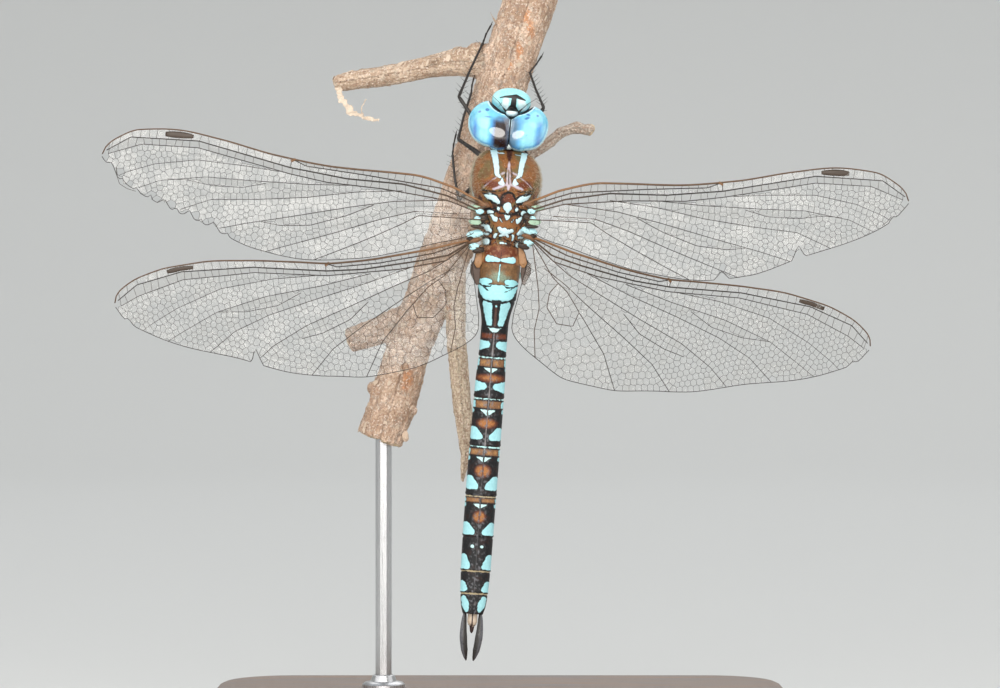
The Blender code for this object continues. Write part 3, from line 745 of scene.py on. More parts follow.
def build_skin():
    runs = np.unique(np.concatenate((np.linspace(-0.38, 0.3, 16),
                                     np.linspace(0.3, BODY_END - 0.02, SKIN_RINGS))))
    turns = 2 * np.pi * np.arange(SKIN_SIDES) / SKIN_SIDES
    run, turn = [part.ravel() for part in np.meshgrid(runs, turns, indexing="ij")]
    folded = fold(turn)
    x = spread(run, folded)
    ground, spot, marks, raised = paint_body(run, x, folded, body_points(run, turn))

    dorsal = step_in(100, 75, folded)
    wing_bases = step_in(4.8, 5.6, run) * step_in(11.6, 11.0, run) * dorsal
    lift = np.full(len(run), -SKIN_INSET)
    lift += wing_bases * (0.2 * step_in(0.12, -0.3, raised) - 0.22)
    lift -= dorsal * step_in(4.6, 3.6, run) * 0.1 * hump(x, 0.55, 0.22) * step_in(1.0, 2.4, run)
    lift += dorsal * 0.1 * step_in(0.1, -0.2, marks["ridge"])
    lift += rough(body_points(run, turn), 1.6, 3, 9.0) * 0.05 * step_in(13.0, 10.0, run)
    for end in SEGMENT_ENDS[:-1]:
        lift += -0.1 * hump(run, end + 0.03, 0.09) + 0.05 * hump(run, end - 0.22, 0.16)
    for index, brown, *_ in MIDDLE_SEGMENTS:
        start, length = segment_span(index)
        lift -= 0.04 * hump(run, start + (brown[1] + 0.02) * length, 0.06)
    lift += step_in(18.0, 19.0, run) * (0.04 * hump(x, 0.0, 0.07) + 0.04 * hump(folded, 112, 4)
                                        - 0.28 * hump(folded, 180, 16))
    shape = Shape(body_points(run, turn, lift), capped(len(runs), SKIN_SIDES))
    nodes = ["prothorax", "synthorax"] + [f"abdomen_s{i:02d}" for i in range(1, 11)]
    piece("body_skin", shape, skin_material(), nodes,
          values={"ground": ground, "spot": spot, **marks})


# Legs

BRANCH_DEPTH = 12.0
BRANCH_AXIS = ((-11.7, -14.7), (-6.8, -12.95), (-0.7, -11.2), (5.4, -8.8), (17.6, -4.3),
               (31, 0), (43.6, 4.2))
BRANCH_RADIUS = ((-11.7, 3), (0, 2.8), (12, 3.2), (31, 3.2), (43.6, 3.35))
ANKLE_CLEARANCE = 0.85            # from the bark to the middle of the leg
CLAW_CLEARANCE = 0.3
HIP_DEPTH = -0.5                  # how far inside the thorax a leg starts
HIP_REACH = 1.0
# coxa as (run, degrees round the thorax), knee as (side, depth, height), then the ankle and
# the claws as (height, degrees round the branch from its near side)
LEGS = {
    "fore_left": ((0.05, -145), (-4.95, 5.3, 29.7), (35.4, -66), (37.8, -95)),
    "fore_right": ((0.05, 145), (5.25, 5.3, 28.4), (33.8, 44), (36.3, 88)),
    "mid_left": ((0.8, -152), (-5.05, 7.2, 24.7), (29.5, -51), (31.4, -84)),
    "mid_right": ((0.8, 155), (4.0, 9.4, 21.8), (27.0, 56), (29.5, 95)),
    "hind_left": ((2.7, -155), (-5.0, 8.2, 17.4), (22.0, -49), (24.6, -92)),
    "hind_right": ((2.7, 155), (3.0, 9.0, 13.7), (19.0, 58), (21.6, 95)),
}
COXA_RADII = ((0, 0.72), (0.55, 0.62), (1, 0.4))
FEMUR_RADII = ((0, 0.26), (0.12, 0.34), (0.4, 0.31), (0.85, 0.22), (0.95, 0.24), (1, 0.18))
TIBIA_RADII = ((0, 0.17), (0.06, 0.2), (0.15, 0.16), (0.9, 0.14), (1, 0.16))
TARSUS_RADII = ((0, 0.1), (0.15, 0.13), (0.22, 0.09), (0.5, 0.125), (0.56, 0.085),
                (0.94, 0.12), (1, 0.08))
HOOK_RADII = ((0, 0.06), (0.6, 0.045), (1, 0.01))
SPINE_RADIUS = 0.026


def leg_material():
    look = Finish("leg_horn")
    colour = look.blend(look.noise(1.5, 4), (0.006, 0.005, 0.005), (0.028, 0.02, 0.015))
    return look.done((look.noise(9, 3, (1, 1, 0.3)), 0.02, 0.6), base_color=colour,
                     specular_ior_level=0.6, roughness=look.vary(4, 3, 0.25, 0.42))


LEG_FINISH = leg_material()


def grip(height, degrees, clearance):
    """A point off the bark, at an angle round the branch from its near side."""
    def axis(at):
        return DATUM + np.array((float(smooth(BRANCH_AXIS, at)), BRANCH_DEPTH, at))

    near = np.array((0.0, -1.0, 0.0))
    right = unit(np.cross(unit(axis(height + 0.5) - axis(height - 0.5)), near))
    angle = math.radians(degrees)
    reach = float(smooth(BRANCH_RADIUS, height)) + clearance
    return axis(height) + (near * math.cos(angle) + right * math.sin(angle)) * reach


def limb(shape, radii, points, sides=12, spacing=0.12):
    """A bar with its radius given by the share of its length."""
    points = resample(points, spacing)
    share = np.linspace(0, 1, len(points))
    heading = unit(points[-1] - points[0])
    up = (0, 1, 0) if abs(heading[1]) < 0.8 else (1, 0, 0)
    shape.add(*sweep(points, line(radii, share), sides, up=up))


def spines(shape, start, end, count, length, slant, radius, facings):
    """Rows of bristles from a limb, slanting towards its end."""
    along = unit(end - start)
    for facing in facings:
        out = unit(facing - along * along.dot(facing))
        share = (np.arange(count) + 0.5 + RNG.uniform(-0.2, 0.2, count)) / count
        feet = start + (end - start) * share[:, None] + out * radius * 0.6
        tips = feet + (out + along * slant) * length * RNG.uniform(0.8, 1.15, (count, 1))
        middle = (feet + tips) / 2 + out * length * 0.05
        shape.add(*rods(feet, middle, SPINE_RADIUS, 4))
        shape.add(*rods(middle, tips, SPINE_RADIUS * 0.55, 4))


def build_leg(name):
    (run, degrees), knee, ankle_grip, claw_grip = LEGS[name]
    run = np.array(run)
    root = body_points(run, np.array(math.radians(degrees)))
    outward = unit(root - body_frame(run)[0])
    hip, knee = root + outward * HIP_REACH, DATUM + np.array(knee)
    ankle, claws = grip(*ankle_grip, ANKLE_CLEARANCE), grip(*claw_grip, CLAW_CLEARANCE)
    bow = unit(np.cross(knee - hip, np.array((0.0, 0.0, 1.0)))) * 0.15
    bend = (ankle + claws) / 2 + unit(ankle - grip(*ankle_grip, -1.0)) * 0.1
    shape = Shape()
    limb(shape, COXA_RADII, (root + outward * HIP_DEPTH, hip))
    limb(shape, FEMUR_RADII, (hip, (hip + knee) / 2 + bow, knee))
    limb(shape, TIBIA_RADII, (knee, (knee + ankle) / 2 - bow, ankle))
    limb(shape, TARSUS_RADII, (ankle, bend, claws))
    outer = np.array((math.copysign(1.0, degrees), -0.2, 0.1))
    inner = np.array((0.1, -1.0, 0.2))
    spines(shape, hip, knee, 7, 0.4, 0.5, 0.32, (outer, inner))
    spines(shape, knee, ankle, 9, 0.75, 0.55, 0.18, (outer, -outer + inner))
    spines(shape, ankle, claws, 8, 0.22, 0.6, 0.14, (inner,))
    tail, away = unit(claws - bend), unit(ankle - grip(*claw_grip, -1.0))
    for aside in (-unit(np.cross(tail, away)), unit(np.cross(tail, away))):
        limb(shape, HOOK_RADII, (claws, claws + tail * 0.22 + aside * 0.16,
                                 claws + tail * 0.36 + aside * 0.24 - away * 0.16), 6, 0.04)
    piece(f"leg_{name}", shape, LEG_FINISH,
          [f"{name}_femur", f"{name}_tibia", f"{name}_tarsus"])


# Wings

WINGS = {   # side, root, turn above level, droop, bulge of the rear edge, tears
    "forewing_right": (1, (4.05, -3.0, 16.93), 0.1, 6.0, 0.0,
                       ((22.3, 0.9, 1.0), (31.5, 0.8, 1.6), (42.9, 0.5, 0.5))),
    "forewing_left": (-1, (-2.59, -3.4, 16.93), 7.1, 3.0, 0.0,
                      ((28.9, 0.4, 0.4), (30.6, 0.8, 0.8), (32.2, 0.35, 0.45), (33.7, 0.7, 0.8),
                       (35.3, 0.4, 0.5), (36.8, 0.8, 0.8), (38.5, 0.35, 0.5),
                       (40.2, 0.4, 0.45), (42.0, 0.3, 0.4), (43.5, 0.8, 0.9))),
    "hindwing_right": (1, (4.12, -2.2, 12.49), -17.5, 11.6, 0.7, ((41.8, 0.5, 0.5),)),
    "hindwing_left": (-1, (-3.75, -2.2, 12.2), -9.8, 7.7, -0.5,
                      ((27.4, 0.65, 2.0), (42.0, 0.5, 0.6))),
}
SWELL_AT, SWELL_REACH = 8.0, 12.0
STRANDS = {   # frayed veins hanging off torn edges
    "forewing_left": ((42.95, -1.35), (42.7, -2.5), (42.35, -3.25), (41.4, -3.7), (40.3, -3.9)),
    "forewing_right": ((41.6, -2.9), (42.3, -2.4), (42.7, -1.9)),
}
FRONT_EDGE = {
    "fore": ((-0.5, -0.1), (0, 0), (3.4, 1.2), (8, 2), (17, 1.8), (24, 2.3), (31, 3.4),
             (36, 3.9), (40.7, 3.4), (43.4, 2), (44.6, 0.7), (44.8, 0)),
    "hind": ((-0.5, -0.1), (0, 0), (5.5, -0.25), (10.4, -0.25), (16.1, 0.1), (20.8, 1.05),
             (26.7, 2.25), (32.2, 3), (36, 3.05), (39.6, 2.55), (42.2, 1.5), (43.1, 0.6),
             (43.3, 0)),
}
REAR_EDGE = {
    "fore": ((-0.5, -2.6), (0.1, -4), (4.4, -5.7), (8.2, -7.1), (13, -8.5), (20, -9.45),
             (25.4, -8.9), (31.6, -6.8), (38.7, -4.5), (42.8, -2.4), (44.3, -0.9),
             (44.8, -0.3)),
    "hind": ((-0.5, -2), (0.1, -2.7), (0.3, -9.2), (0.7, -10.9), (1.8, -11.9), (4.5, -13),
             (9.4, -14.2), (13.9, -14.1), (18.3, -13.2), (23.3, -11.9), (29.7, -9),
             (35.7, -6.6), (40.1, -4.1), (42.4, -2.2), (43.3, -0.5)),
}
NODUS = {"fore": 0.5, "hind": 0.4}      # share of the span where the subcosta ends
# Veins as (share of the span, share of the chord from the front edge), main ones first.
VEINS = {
    "fore": {
        "subcosta": ((0, 0.12), (0.1, 0.085), (0.3, 0.055), (0.46, 0.042), (0.5, 0)),
        "radius": ((0, 0.28), (0.08, 0.18), (0.2, 0.13), (0.35, 0.112), (0.5, 0.092),
                   (0.75, 0.085), (0.93, 0.11), (0.99, 0.3)),
        "sector": ((0, 0.36), (0.08, 0.26), (0.25, 0.2), (0.4, 0.172), (0.5, 0.155),
                   (0.75, 0.165), (0.9, 0.24), (0.985, 0.5)),
        "sector_2": ((0.53, 0.157), (0.62, 0.2), (0.75, 0.31), (0.86, 0.5), (0.93, 0.78),
                     (0.955, 1)),
        "between": ((0.34, 0.182), (0.45, 0.225), (0.6, 0.33), (0.72, 0.47), (0.84, 0.7),
                    (0.905, 1)),
        "sector_34": ((0.2, 0.215), (0.32, 0.25), (0.45, 0.36), (0.58, 0.5), (0.7, 0.7),
                      (0.79, 1)),
        "media": ((0.08, 0.26), (0.13, 0.32), (0.22, 0.35), (0.33, 0.42), (0.48, 0.58),
                  (0.6, 0.78), (0.68, 1)),
        "media_rear": ((0.05, 0.47), (0.16, 0.48), (0.25, 0.56), (0.36, 0.7), (0.47, 0.86),
                       (0.54, 1)),
        "cubitus": ((0, 0.6), (0.08, 0.56), (0.15, 0.54), (0.19, 0.64), (0.26, 0.76),
                    (0.34, 0.89), (0.41, 1)),
        "radial_bow": ((0.56, 0.31), (0.62, 0.43), (0.7, 0.54), (0.77, 0.58), (0.82, 0.645)),
        "medial_bow": ((0.27, 0.39), (0.34, 0.52), (0.43, 0.64), (0.51, 0.7), (0.56, 0.71)),
    },
    "hind": {
        "subcosta": ((0, 0.05), (0.1, 0.045), (0.25, 0.04), (0.37, 0.034), (0.4, 0)),
        "radius": ((0, 0.13), (0.06, 0.1), (0.15, 0.085), (0.3, 0.075), (0.4, 0.066),
                   (0.6, 0.062), (0.8, 0.075), (0.93, 0.11), (0.99, 0.3)),
        "sector": ((0, 0.19), (0.07, 0.145), (0.2, 0.125), (0.4, 0.108), (0.6, 0.112),
                   (0.8, 0.17), (0.93, 0.32), (0.985, 0.55)),
        "sector_2": ((0.43, 0.11), (0.55, 0.16), (0.7, 0.29), (0.83, 0.52), (0.91, 0.82),
                     (0.935, 1)),
        "between": ((0.28, 0.12), (0.42, 0.2), (0.58, 0.33), (0.72, 0.54), (0.82, 0.8),
                    (0.87, 1)),
        "sector_34": ((0.17, 0.13), (0.3, 0.2), (0.45, 0.33), (0.58, 0.5), (0.68, 0.72),
                      (0.76, 1)),
        "media": ((0.07, 0.145), (0.12, 0.2), (0.22, 0.26), (0.35, 0.38), (0.48, 0.56),
                  (0.58, 0.78), (0.64, 1)),
        "media_rear": ((0.05, 0.24), (0.12, 0.29), (0.2, 0.38), (0.32, 0.55), (0.42, 0.76),
                       (0.49, 1)),
        "cubitus": ((0, 0.27), (0.08, 0.28), (0.13, 0.34), (0.2, 0.5), (0.28, 0.72),
                    (0.34, 1)),
        "anal_loop": ((0.1, 0.3), (0.085, 0.42), (0.09, 0.55), (0.13, 0.63), (0.175, 0.58),
                      (0.18, 0.45)),
        "anal": ((0, 0.34), (0.05, 0.44), (0.07, 0.6), (0.075, 0.8), (0.1, 1)),
        "radial_bow": ((0.48, 0.27), (0.55, 0.4), (0.64, 0.5), (0.72, 0.54)),
        "medial_bow": ((0.3, 0.36), (0.36, 0.5), (0.44, 0.62), (0.5, 0.68)),
    },
}
VEIN_RADIUS = {"subcosta": 0.075, "radius": 0.1, "sector": 0.07}
MINOR_VEIN = 0.052
COSTA_RADIUS = 0.13
MARGIN_RADIUS = 0.042
WALL_RADIUS = 0.024
CELL = 0.74                       # spacing of the cells away from the front of a wing
CELL_GROWTH = ((0, 1.7), (9, 1.45), (18, 1), (45, 0.92))
CELL_MARGIN = 0.36                # from a vein or the edge to the middle of its cells
RIDGES = {   # height of each vein over the blade, in millimetres
    "subcosta": -0.12, "radius": 0.15, "sector": -0.1, "sector_2": -0.13, "between": 0.14,
    "sector_34": -0.13, "media": 0.14, "media_rear": -0.12, "cubitus": 0.13,
    "radial_bow": -0.02, "medial_bow": 0.02, "anal_loop": -0.06, "anal": 0.06,
}
COSTA_HEIGHT = 0.1
MARK = np.array((0.765, 0.84))    # shares of the span where the dark wing mark lies
MARK_STEPS = 14
# Hinges: where the front and the rear veins of a wing meet, as (out, ahead).
HINGES = {"fore": ((-1.1, -0.55), (-1.1, -2.2)), "hind": ((-1.3, -0.1), (-1.3, -1.2))}
FRONT_GROUP = {"fore": 0.4, "hind": 0.2}    # veins ahead of this share of the chord
PLATE_WHITE = (0.5, 0.82, 0.88)
PLATE_GREEN = (0.36, 0.52, 0.38)
PLATE_BROWN = (0.2, 0.09, 0.04)
PLATE_DARK = (0.03, 0.018, 0.012)
FLAP_BROWN = (0.1, 0.065, 0.05)
FLAP_PEACH = (0.36, 0.185, 0.08)
# plates round the hinges: (out, ahead, off) of the middle, half sizes, colour
PLATES = {
    "fore": (((-0.75, -0.45, -0.2), (0.8, 0.34, 0.3), PLATE_BROWN),
             ((-0.3, -0.95, -0.15), (0.5, 0.2, 0.22), PLATE_DARK),
             ((-0.35, -1.3, -0.1), (0.5, 0.34, 0.28), PLATE_WHITE),
             ((0.35, -0.95, -0.05), (0.85, 0.3, 0.1), PLATE_GREEN),
             ((-0.85, -1.95, -0.25), (0.55, 0.4, 0.3), PLATE_DARK),
             ((-0.25, -2.15, -0.15), (0.42, 0.26, 0.2), PLATE_WHITE),
             ((0.05, -2.6, -0.06), (0.75, 0.34, 0.1), PLATE_GREEN),
             ((-0.3, -3.15, -0.12), (0.8, 0.2, 0.16), PLATE_DARK)),
    "hind": (((-0.9, 0.6, -0.15), (0.95, 0.46, 0.36), PLATE_WHITE),
             ((-0.7, -0.1, -0.12), (0.85, 0.32, 0.34), PLATE_BROWN),
             ((-0.25, 0.15, 0.0), (0.42, 0.3, 0.26), PLATE_DARK),
             ((-0.5, -0.8, -0.1), (0.62, 0.42, 0.26), PLATE_WHITE),
             ((-1.0, -1.35, -0.15), (0.75, 0.36, 0.3), PLATE_DARK)),
}
# Two flaps of film at the inner edge of each hindwing, as (side, depth, height, half-width).
FLAPS = {
    "hindwing_left": (((-2.8, -1.1, 10.1, 0.1), (-2.9, -1.1, 9.3, 0.55), (-2.85, -1, 8.3, 0.6),
                       (-2.65, -0.9, 7, 0.15)),
                      ((-2.2, -1.3, 11.7, 0.12), (-2.45, -1.35, 10.7, 0.4),
                       (-2.6, -1.4, 9.5, 0.5), (-2.6, -1.3, 9, 0.2))),
    "hindwing_right": (((2.85, -1.1, 10.1, 0.1), (3.1, -1.1, 9.3, 0.55), (3, -1, 8.3, 0.6),
                        (2.75, -0.9, 7, 0.15)),
                       ((2.3, -1.3, 11.7, 0.12), (2.55, -1.35, 10.7, 0.4),
                        (2.75, -1.4, 9.5, 0.5), (2.75, -1.3, 9, 0.2))),
}


class Blade:
    """One wing's plane, edges and veins, in distances out and forward from its root."""

    def __init__(self, name):
        self.name, self.kind = name, name[:4]
        self.side, root, turn, droop, self.swell, self.tears = WINGS[name]
        turn, droop = math.radians(turn), math.radians(droop)
        self.root = DATUM + root
        self.along = np.array((self.side * math.cos(turn) * math.cos(droop),
                               math.sin(droop), math.sin(turn) * math.cos(droop)))
        self.ahead = np.array((-self.side * math.sin(turn), 0.0, math.cos(turn)))
        face = np.array((0.0, -1.0, 0.0))
        self.off = unit(face - self.along * face.dot(self.along))
        self.span = FRONT_EDGE[self.kind][-1][0]
        self.routes = VEINS[self.kind]
        self.ridges = [(self.vein(key, 0.35), RIDGES[key]) for key in self.routes]
        out = np.arange(0.0, self.span, 0.35)
        self.ridges.append((np.stack((out, self.front(out)), 1), COSTA_HEIGHT))

    def front(self, out):
        return smooth(FRONT_EDGE[self.kind], out)

    def rear(self, out, torn=True):
        out = np.asarray(out, float)
        edge = smooth(REAR_EDGE[self.kind], out)
        edge = edge - self.swell * np.maximum(0, 1 - np.abs(out - SWELL_AT) / SWELL_REACH)
        if torn:
            for at, half, depth in self.tears:
                edge = edge + depth * np.maximum(0, 1 - np.abs(out - at) / half)
        return edge

    def vein(self, name, spacing=0.3):
        """(out, forward) points along a vein."""
        shares = np.array(self.routes[name], float)
        out = shares[:, 0] * self.span
        front = self.front(out)
        ahead = front + shares[:, 1] * (self.rear(out, False) - front)
        return resample(np.stack((out, ahead), 1), spacing)

    def pleat(self, flat):
        """Height of the pleated blade, drawn to the height of the nearest veins."""
        total, weight = np.zeros(len(flat)), np.full(len(flat), 0.02)
        for vein, height in self.ridges:
            pull = 1 / (distance_2d(flat, vein) + 0.12) ** 2
            total += pull * height
            weight += pull
        return total / weight * (1.15 - 0.45 * flat[:, 0] / self.span)

    def solid(self, flat, lift=0.0):
        """Places (out, forward) points on the pleated blade."""
        flat = np.asarray(flat, float)
        rise = self.pleat(flat) + lift
        return (self.root + flat[:, :1] * self.along + flat[:, 1:] * self.ahead
                + np.reshape(rise, (-1, 1)) * self.off)

    def outline(self, spacing=0.25):
        """The torn edge from the root round the tip and back, as (out, forward)."""
        out = np.arange(0.0, self.span, 0.05)
        front = np.stack((out, self.front(out)), 1)
        rear = np.stack((out, self.rear(out)), 1)[::-1]
        return resample(np.concatenate((front, rear)), spacing)

    def holds(self, flat, front_vein):
        """Whether points lie on the torn blade behind the sector vein."""
        out, ahead = flat.T
        limit = np.interp(out, front_vein[:, 0], front_vein[:, 1], left=9, right=-9)
        return ((out > 0.02) & (out < self.span - 0.05) & (ahead < limit)
                & (ahead > self.rear(out)))


def distance_2d(points, others):
    """Distance of each point to the nearest of the others."""
    best = np.full(len(points), 1e3)
    for k in range(0, len(others), 400):
        away = points[:, None] - others[None, k:k + 400]
        best = np.minimum(best, np.hypot(away[..., 0], away[..., 1]).min(1))
    return best


def thin_out(points, spacing):
    """Points in order, without those closer than spacing to one kept before."""
    kept = []
    for point in points:
        if all((point[0] - k[0]) ** 2 + (point[1] - k[1]) ** 2 > spacing ** 2 for k in kept):
            kept.append(point)
    return np.array(kept)


def graded(vein):
    """Points along a vein, wider apart near the wing's base."""
    fine = resample(vein, 0.05)
    kept, reach = [fine[0]], 0.0
    for before, point in zip(fine, fine[1:]):
        reach += float(np.hypot(*(point - before)))
        if reach > CELL * 0.95 * float(line(CELL_GROWTH, point[0])):
            kept.append(point)
            reach = 0.0
    return np.array(kept + [fine[-1]])


def field_seeds(blade, lines):
    """Seeds of the cells: mirrored ones on both sides of each line, and free ones between."""
    near = []
    for points in map(graded, lines):
        heading = unit(np.gradient(points, axis=0))
        aside = CELL_MARGIN * np.stack((-heading[:, 1], heading[:, 0]), 1)
        near += [points + aside, points - aside]
    near = np.concatenate(near)
    dense = np.concatenate([resample(points, 0.15) for points in lines])
    near = near[distance_2d(near, dense) > CELL_MARGIN * 0.8]
    near = thin_out(near, CELL_MARGIN * 1.35)
    free, out = [], 0.2
    while out < blade.span:
        spacing = CELL * float(line(CELL_GROWTH, out))
        out += spacing * 0.87
        shift = 0.0 if len(free) % 2 else spacing / 2
        ahead = np.arange(-16.0, 4.5, spacing) + shift
        free.append(np.stack((np.full(len(ahead), out), ahead), 1))
    free = np.concatenate(free)
    free += RNG.normal(0, CELL * 0.12, free.shape)
    return near, free[distance_2d(free, dense) > CELL_MARGIN + CELL * 0.5]


def triangulate(points):
    made = geometry.delaunay_2d_cdt([Vector(p) for p in points.tolist()], [], [], 0, 1e-6)
    return np.array([tuple(v) for v in made[0]]), np.array([list(face) for face in made[2]])


def circumcentres(points, triangles):
    a = points[triangles[:, 0]]
    (bx, by), (cx, cy) = (points[triangles[:, 1]] - a).T, (points[triangles[:, 2]] - a).T
    d = 2 * (bx * cy - by * cx)
    d = np.where(np.abs(d) < 1e-9, 1e-9, d)
    b2, c2 = bx ** 2 + by ** 2, cx ** 2 + cy ** 2
    return a + np.stack(((cy * b2 - by * c2) / d, (bx * c2 - cx * b2) / d), 1)


def relax(near, free, rounds=5):
    """Evens out the free seeds by moving each to the middle of its neighbours."""
    for _ in range(rounds):
        points = np.concatenate((near, free))
        verts, triangles = triangulate(points)
        total, count = np.zeros_like(verts), np.zeros(len(verts))
        for i, j in ((0, 1), (1, 0), (1, 2), (2, 1), (2, 0), (0, 2)):
            np.add.at(total, triangles[:, i], verts[triangles[:, j]])
            np.add.at(count, triangles[:, i], 1)
        middle = total / np.maximum(count, 1)[:, None]
        if len(verts) != len(points):
            break
        free = 0.4 * free + 0.6 * middle[len(near):]
    return np.concatenate((near, free))


def field_cells(blade):
    """Cells behind the sector vein: their corners, the ring of each cell, and the walls."""
    veins = {key: blade.vein(key) for key in blade.routes if key not in ("subcosta", "radius")}
    sector = veins["sector"]
    edge = blade.outline()
    edge = edge[edge[:, 1] < np.interp(edge[:, 0], sector[:, 0], sector[:, 1])]
    lines = [*veins.values(), edge]
    near, free = field_seeds(blade, lines)
    verts, triangles = triangulate(relax(near, free[blade.holds(free, sector)]))
    corners = circumcentres(verts, triangles)
    rings, pairs = {}, {}
    for t, triangle in enumerate(triangles.tolist()):
        for a, b in zip(triangle, triangle[1:] + triangle[:1]):
            rings.setdefault(a, []).append(t)
            pairs.setdefault((min(a, b), max(a, b)), []).append(t)
    out, ahead = corners.T
    escaped = (ahead < blade.rear(out)) | (ahead > blade.front(out)) | (out > blade.span)
    escaped = (escaped | (out < 0)) & (distance_2d(corners, blade.outline(0.15)) > 0.25)
    real = blade.holds(verts, sector)
    cells = []
    for seed, ring in rings.items():
        if not real[seed] or len(ring) < 3 or escaped[ring].any():
            continue
        around = corners[ring] - verts[seed]
        if np.abs(around).max() < 2.2:
            order = np.argsort(np.arctan2(around[:, 1], around[:, 0]))
            cells.append([ring[i] for i in order])
    used = set(i for cell in cells for i in cell)
    walls = np.array([pair for pair in pairs.values() if len(pair) == 2 and used.issuperset(pair)])
    starts, ends = corners[walls[:, 0]], corners[walls[:, 1]]
    dense = np.concatenate([resample(points, 0.12) for points in lines])
    length = np.linalg.norm(starts - ends, axis=1)
    keep = (distance_2d((starts + ends) / 2, dense) > 0.1) & (length > 0.03) & (length < 2.0)
    return corners, cells, walls[keep]


def ladder(front, rear, start, end, spacing):
    """Rungs between two lines given as functions of the distance out."""
    at = [start]
    while at[-1] < end - 0.3 * spacing:
        at.append(min(at[-1] + spacing * RNG.uniform(0.75, 1.25), end))
    lean = RNG.normal(0, 0.06, len(at))
    low, high = np.clip(at + lean, start, end), np.clip(at - lean, start, end)
    return np.stack((high, front(high)), 1), np.stack((low, rear(low)), 1)


def front_cells(blade):
    """The narrow rows of cells ahead of the sector vein, as rungs."""
    def course(key):
        flat = blade.vein(key, 0.2)
        return lambda out: np.interp(out, flat[:, 0], flat[:, 1])

    nodus, tip = NODUS[blade.kind] * blade.span, 0.985 * blade.span
    subcosta, radius = course("subcosta"), course("radius")
    return [ladder(blade.front, subcosta, 0.3, nodus, 1.0),
            ladder(subcosta, radius, 0.3, nodus, 0.95),
            ladder(blade.front, radius, nodus, tip, 1.15),
            ladder(radius, course("sector"), 0.3, tip, 1.0)]


def torn_away(blade, middle):
    """Cells lost from the ragged edges."""
    gap = middle[1] - float(blade.rear(middle[0]))
    ragged = blade.name == "forewing_left" and 27 < middle[0] < 45
    return gap < (0.75 if ragged else 0.45) and RNG.random() < (0.55 if ragged else 0.06)


def wing_mark(blade):
    """Middle line and half-widths of the dark mark between the costa and the radius."""
    out = np.linspace(*(MARK * blade.span), MARK_STEPS)
    front, radius = blade.front(out), np.interp(out, *blade.vein("radius", 0.2).T)
    arch = np.sin(np.linspace(0.15, math.pi - 0.15, MARK_STEPS)) ** 0.4
    return np.stack((out, (front + radius) / 2), 1), (front - radius) / 2 * (0.2 + 0.48 * arch)


def build_wing(name):
    blade = Blade(name)
    glass, veins = Shape(), Shape()
    tone, warmth = [], []

    def add_cell(flat):
        """A cell as a fan about a middle that stands a little off its plane."""
        middle = flat.mean(0)
        if torn_away(blade, middle):
            return
        count = len(flat)
        lift = np.zeros(count + 1)
        lift[-1] = RNG.normal(0, 0.045)
        glass.add(blade.solid(np.concatenate((flat, middle[None])), lift),
                  [[i, (i + 1) % count, count] for i in range(count)])
        tone.extend([RNG.random()] * (count + 1))

    def add_bars(points, faces, warm):
        veins.add(points, faces)
        warmth.extend(np.broadcast_to(warm, (len(points),)))

    def add_vein(flat, radius, sides, warm, **settings):
        """A bar along a line on the blade, with one warmth or one for each point."""
        warm = np.repeat(np.broadcast_to(warm, (len(flat),)), sides)
        add_bars(*sweep(blade.solid(flat), radius, sides, **settings), warm)

    corners, cells, walls = field_cells(blade)
    for cell in cells:
        add_cell(corners[cell])
    starts, ends = blade.solid(corners[walls[:, 0]]), blade.solid(corners[walls[:, 1]])
    add_bars(*rods(starts, ends, WALL_RADIUS), 0.0)
    for front, rear in front_cells(blade):
        for k in range(len(front) - 1):
            add_cell(np.stack((front[k], front[k + 1], rear[k + 1], rear[k])))
        add_bars(*rods(blade.solid(front), blade.solid(rear), WALL_RADIUS * 1.25), 0.1)
    for key in blade.routes:
        flat = blade.vein(key)
        flat = flat[flat[:, 1] > blade.rear(flat[:, 0]) - 0.02]
        radius = VEIN_RADIUS.get(key, MINOR_VEIN) * (1.15 - 0.6 * flat[:, 0] / blade.span)
        add_vein(flat, radius, 5, 0.2 * step_in(12, 2, flat[:, 0]))
    out = np.linspace(0.0, blade.span, 150)
    add_vein(np.stack((out, blade.front(out)), 1), COSTA_RADIUS * (1.1 - 0.55 * out / blade.span),
             6, 0.35 + 0.65 * step_in(14, 2, out))
    add_vein(np.stack((out, blade.rear(out)), 1), MARGIN_RADIUS, 4, 0.0)
    nodus = NODUS[blade.kind] * blade.span
    front = float(blade.front(nodus))
    knot = ((nodus - 0.45, front + 0.02), (nodus + 0.05, front - 0.3))
    add_vein(resample(knot, 0.1), 0.15, 6, 0.75)
    add_vein(*wing_mark(blade), 8, 0.1, squash=0.16, up=tuple(blade.off))
    for key, route in blade.routes.items():
        if route[0][0] == 0:
            hinge = HINGES[blade.kind][route[0][1] >= FRONT_GROUP[blade.kind]]
            add_vein(resample((blade.vein(key)[0], hinge), 0.2),
                     VEIN_RADIUS.get(key, MINOR_VEIN) * 1.2, 6, 0.3)
    costa_root = (0.0, float(blade.front(0.0)))
    add_vein(resample((costa_root, HINGES[blade.kind][0]), 0.2), COSTA_RADIUS * 1.2, 6, 0.8)
    if name in STRANDS:
        add_vein(resample(STRANDS[name], 0.15), 0.03, 4, 0.1)
    piece(f"{name}_membrane", glass, MEMBRANE, [name], values={"tone": tone})
    piece(f"{name}_veins", veins, VEIN, values={"warmth": warmth})


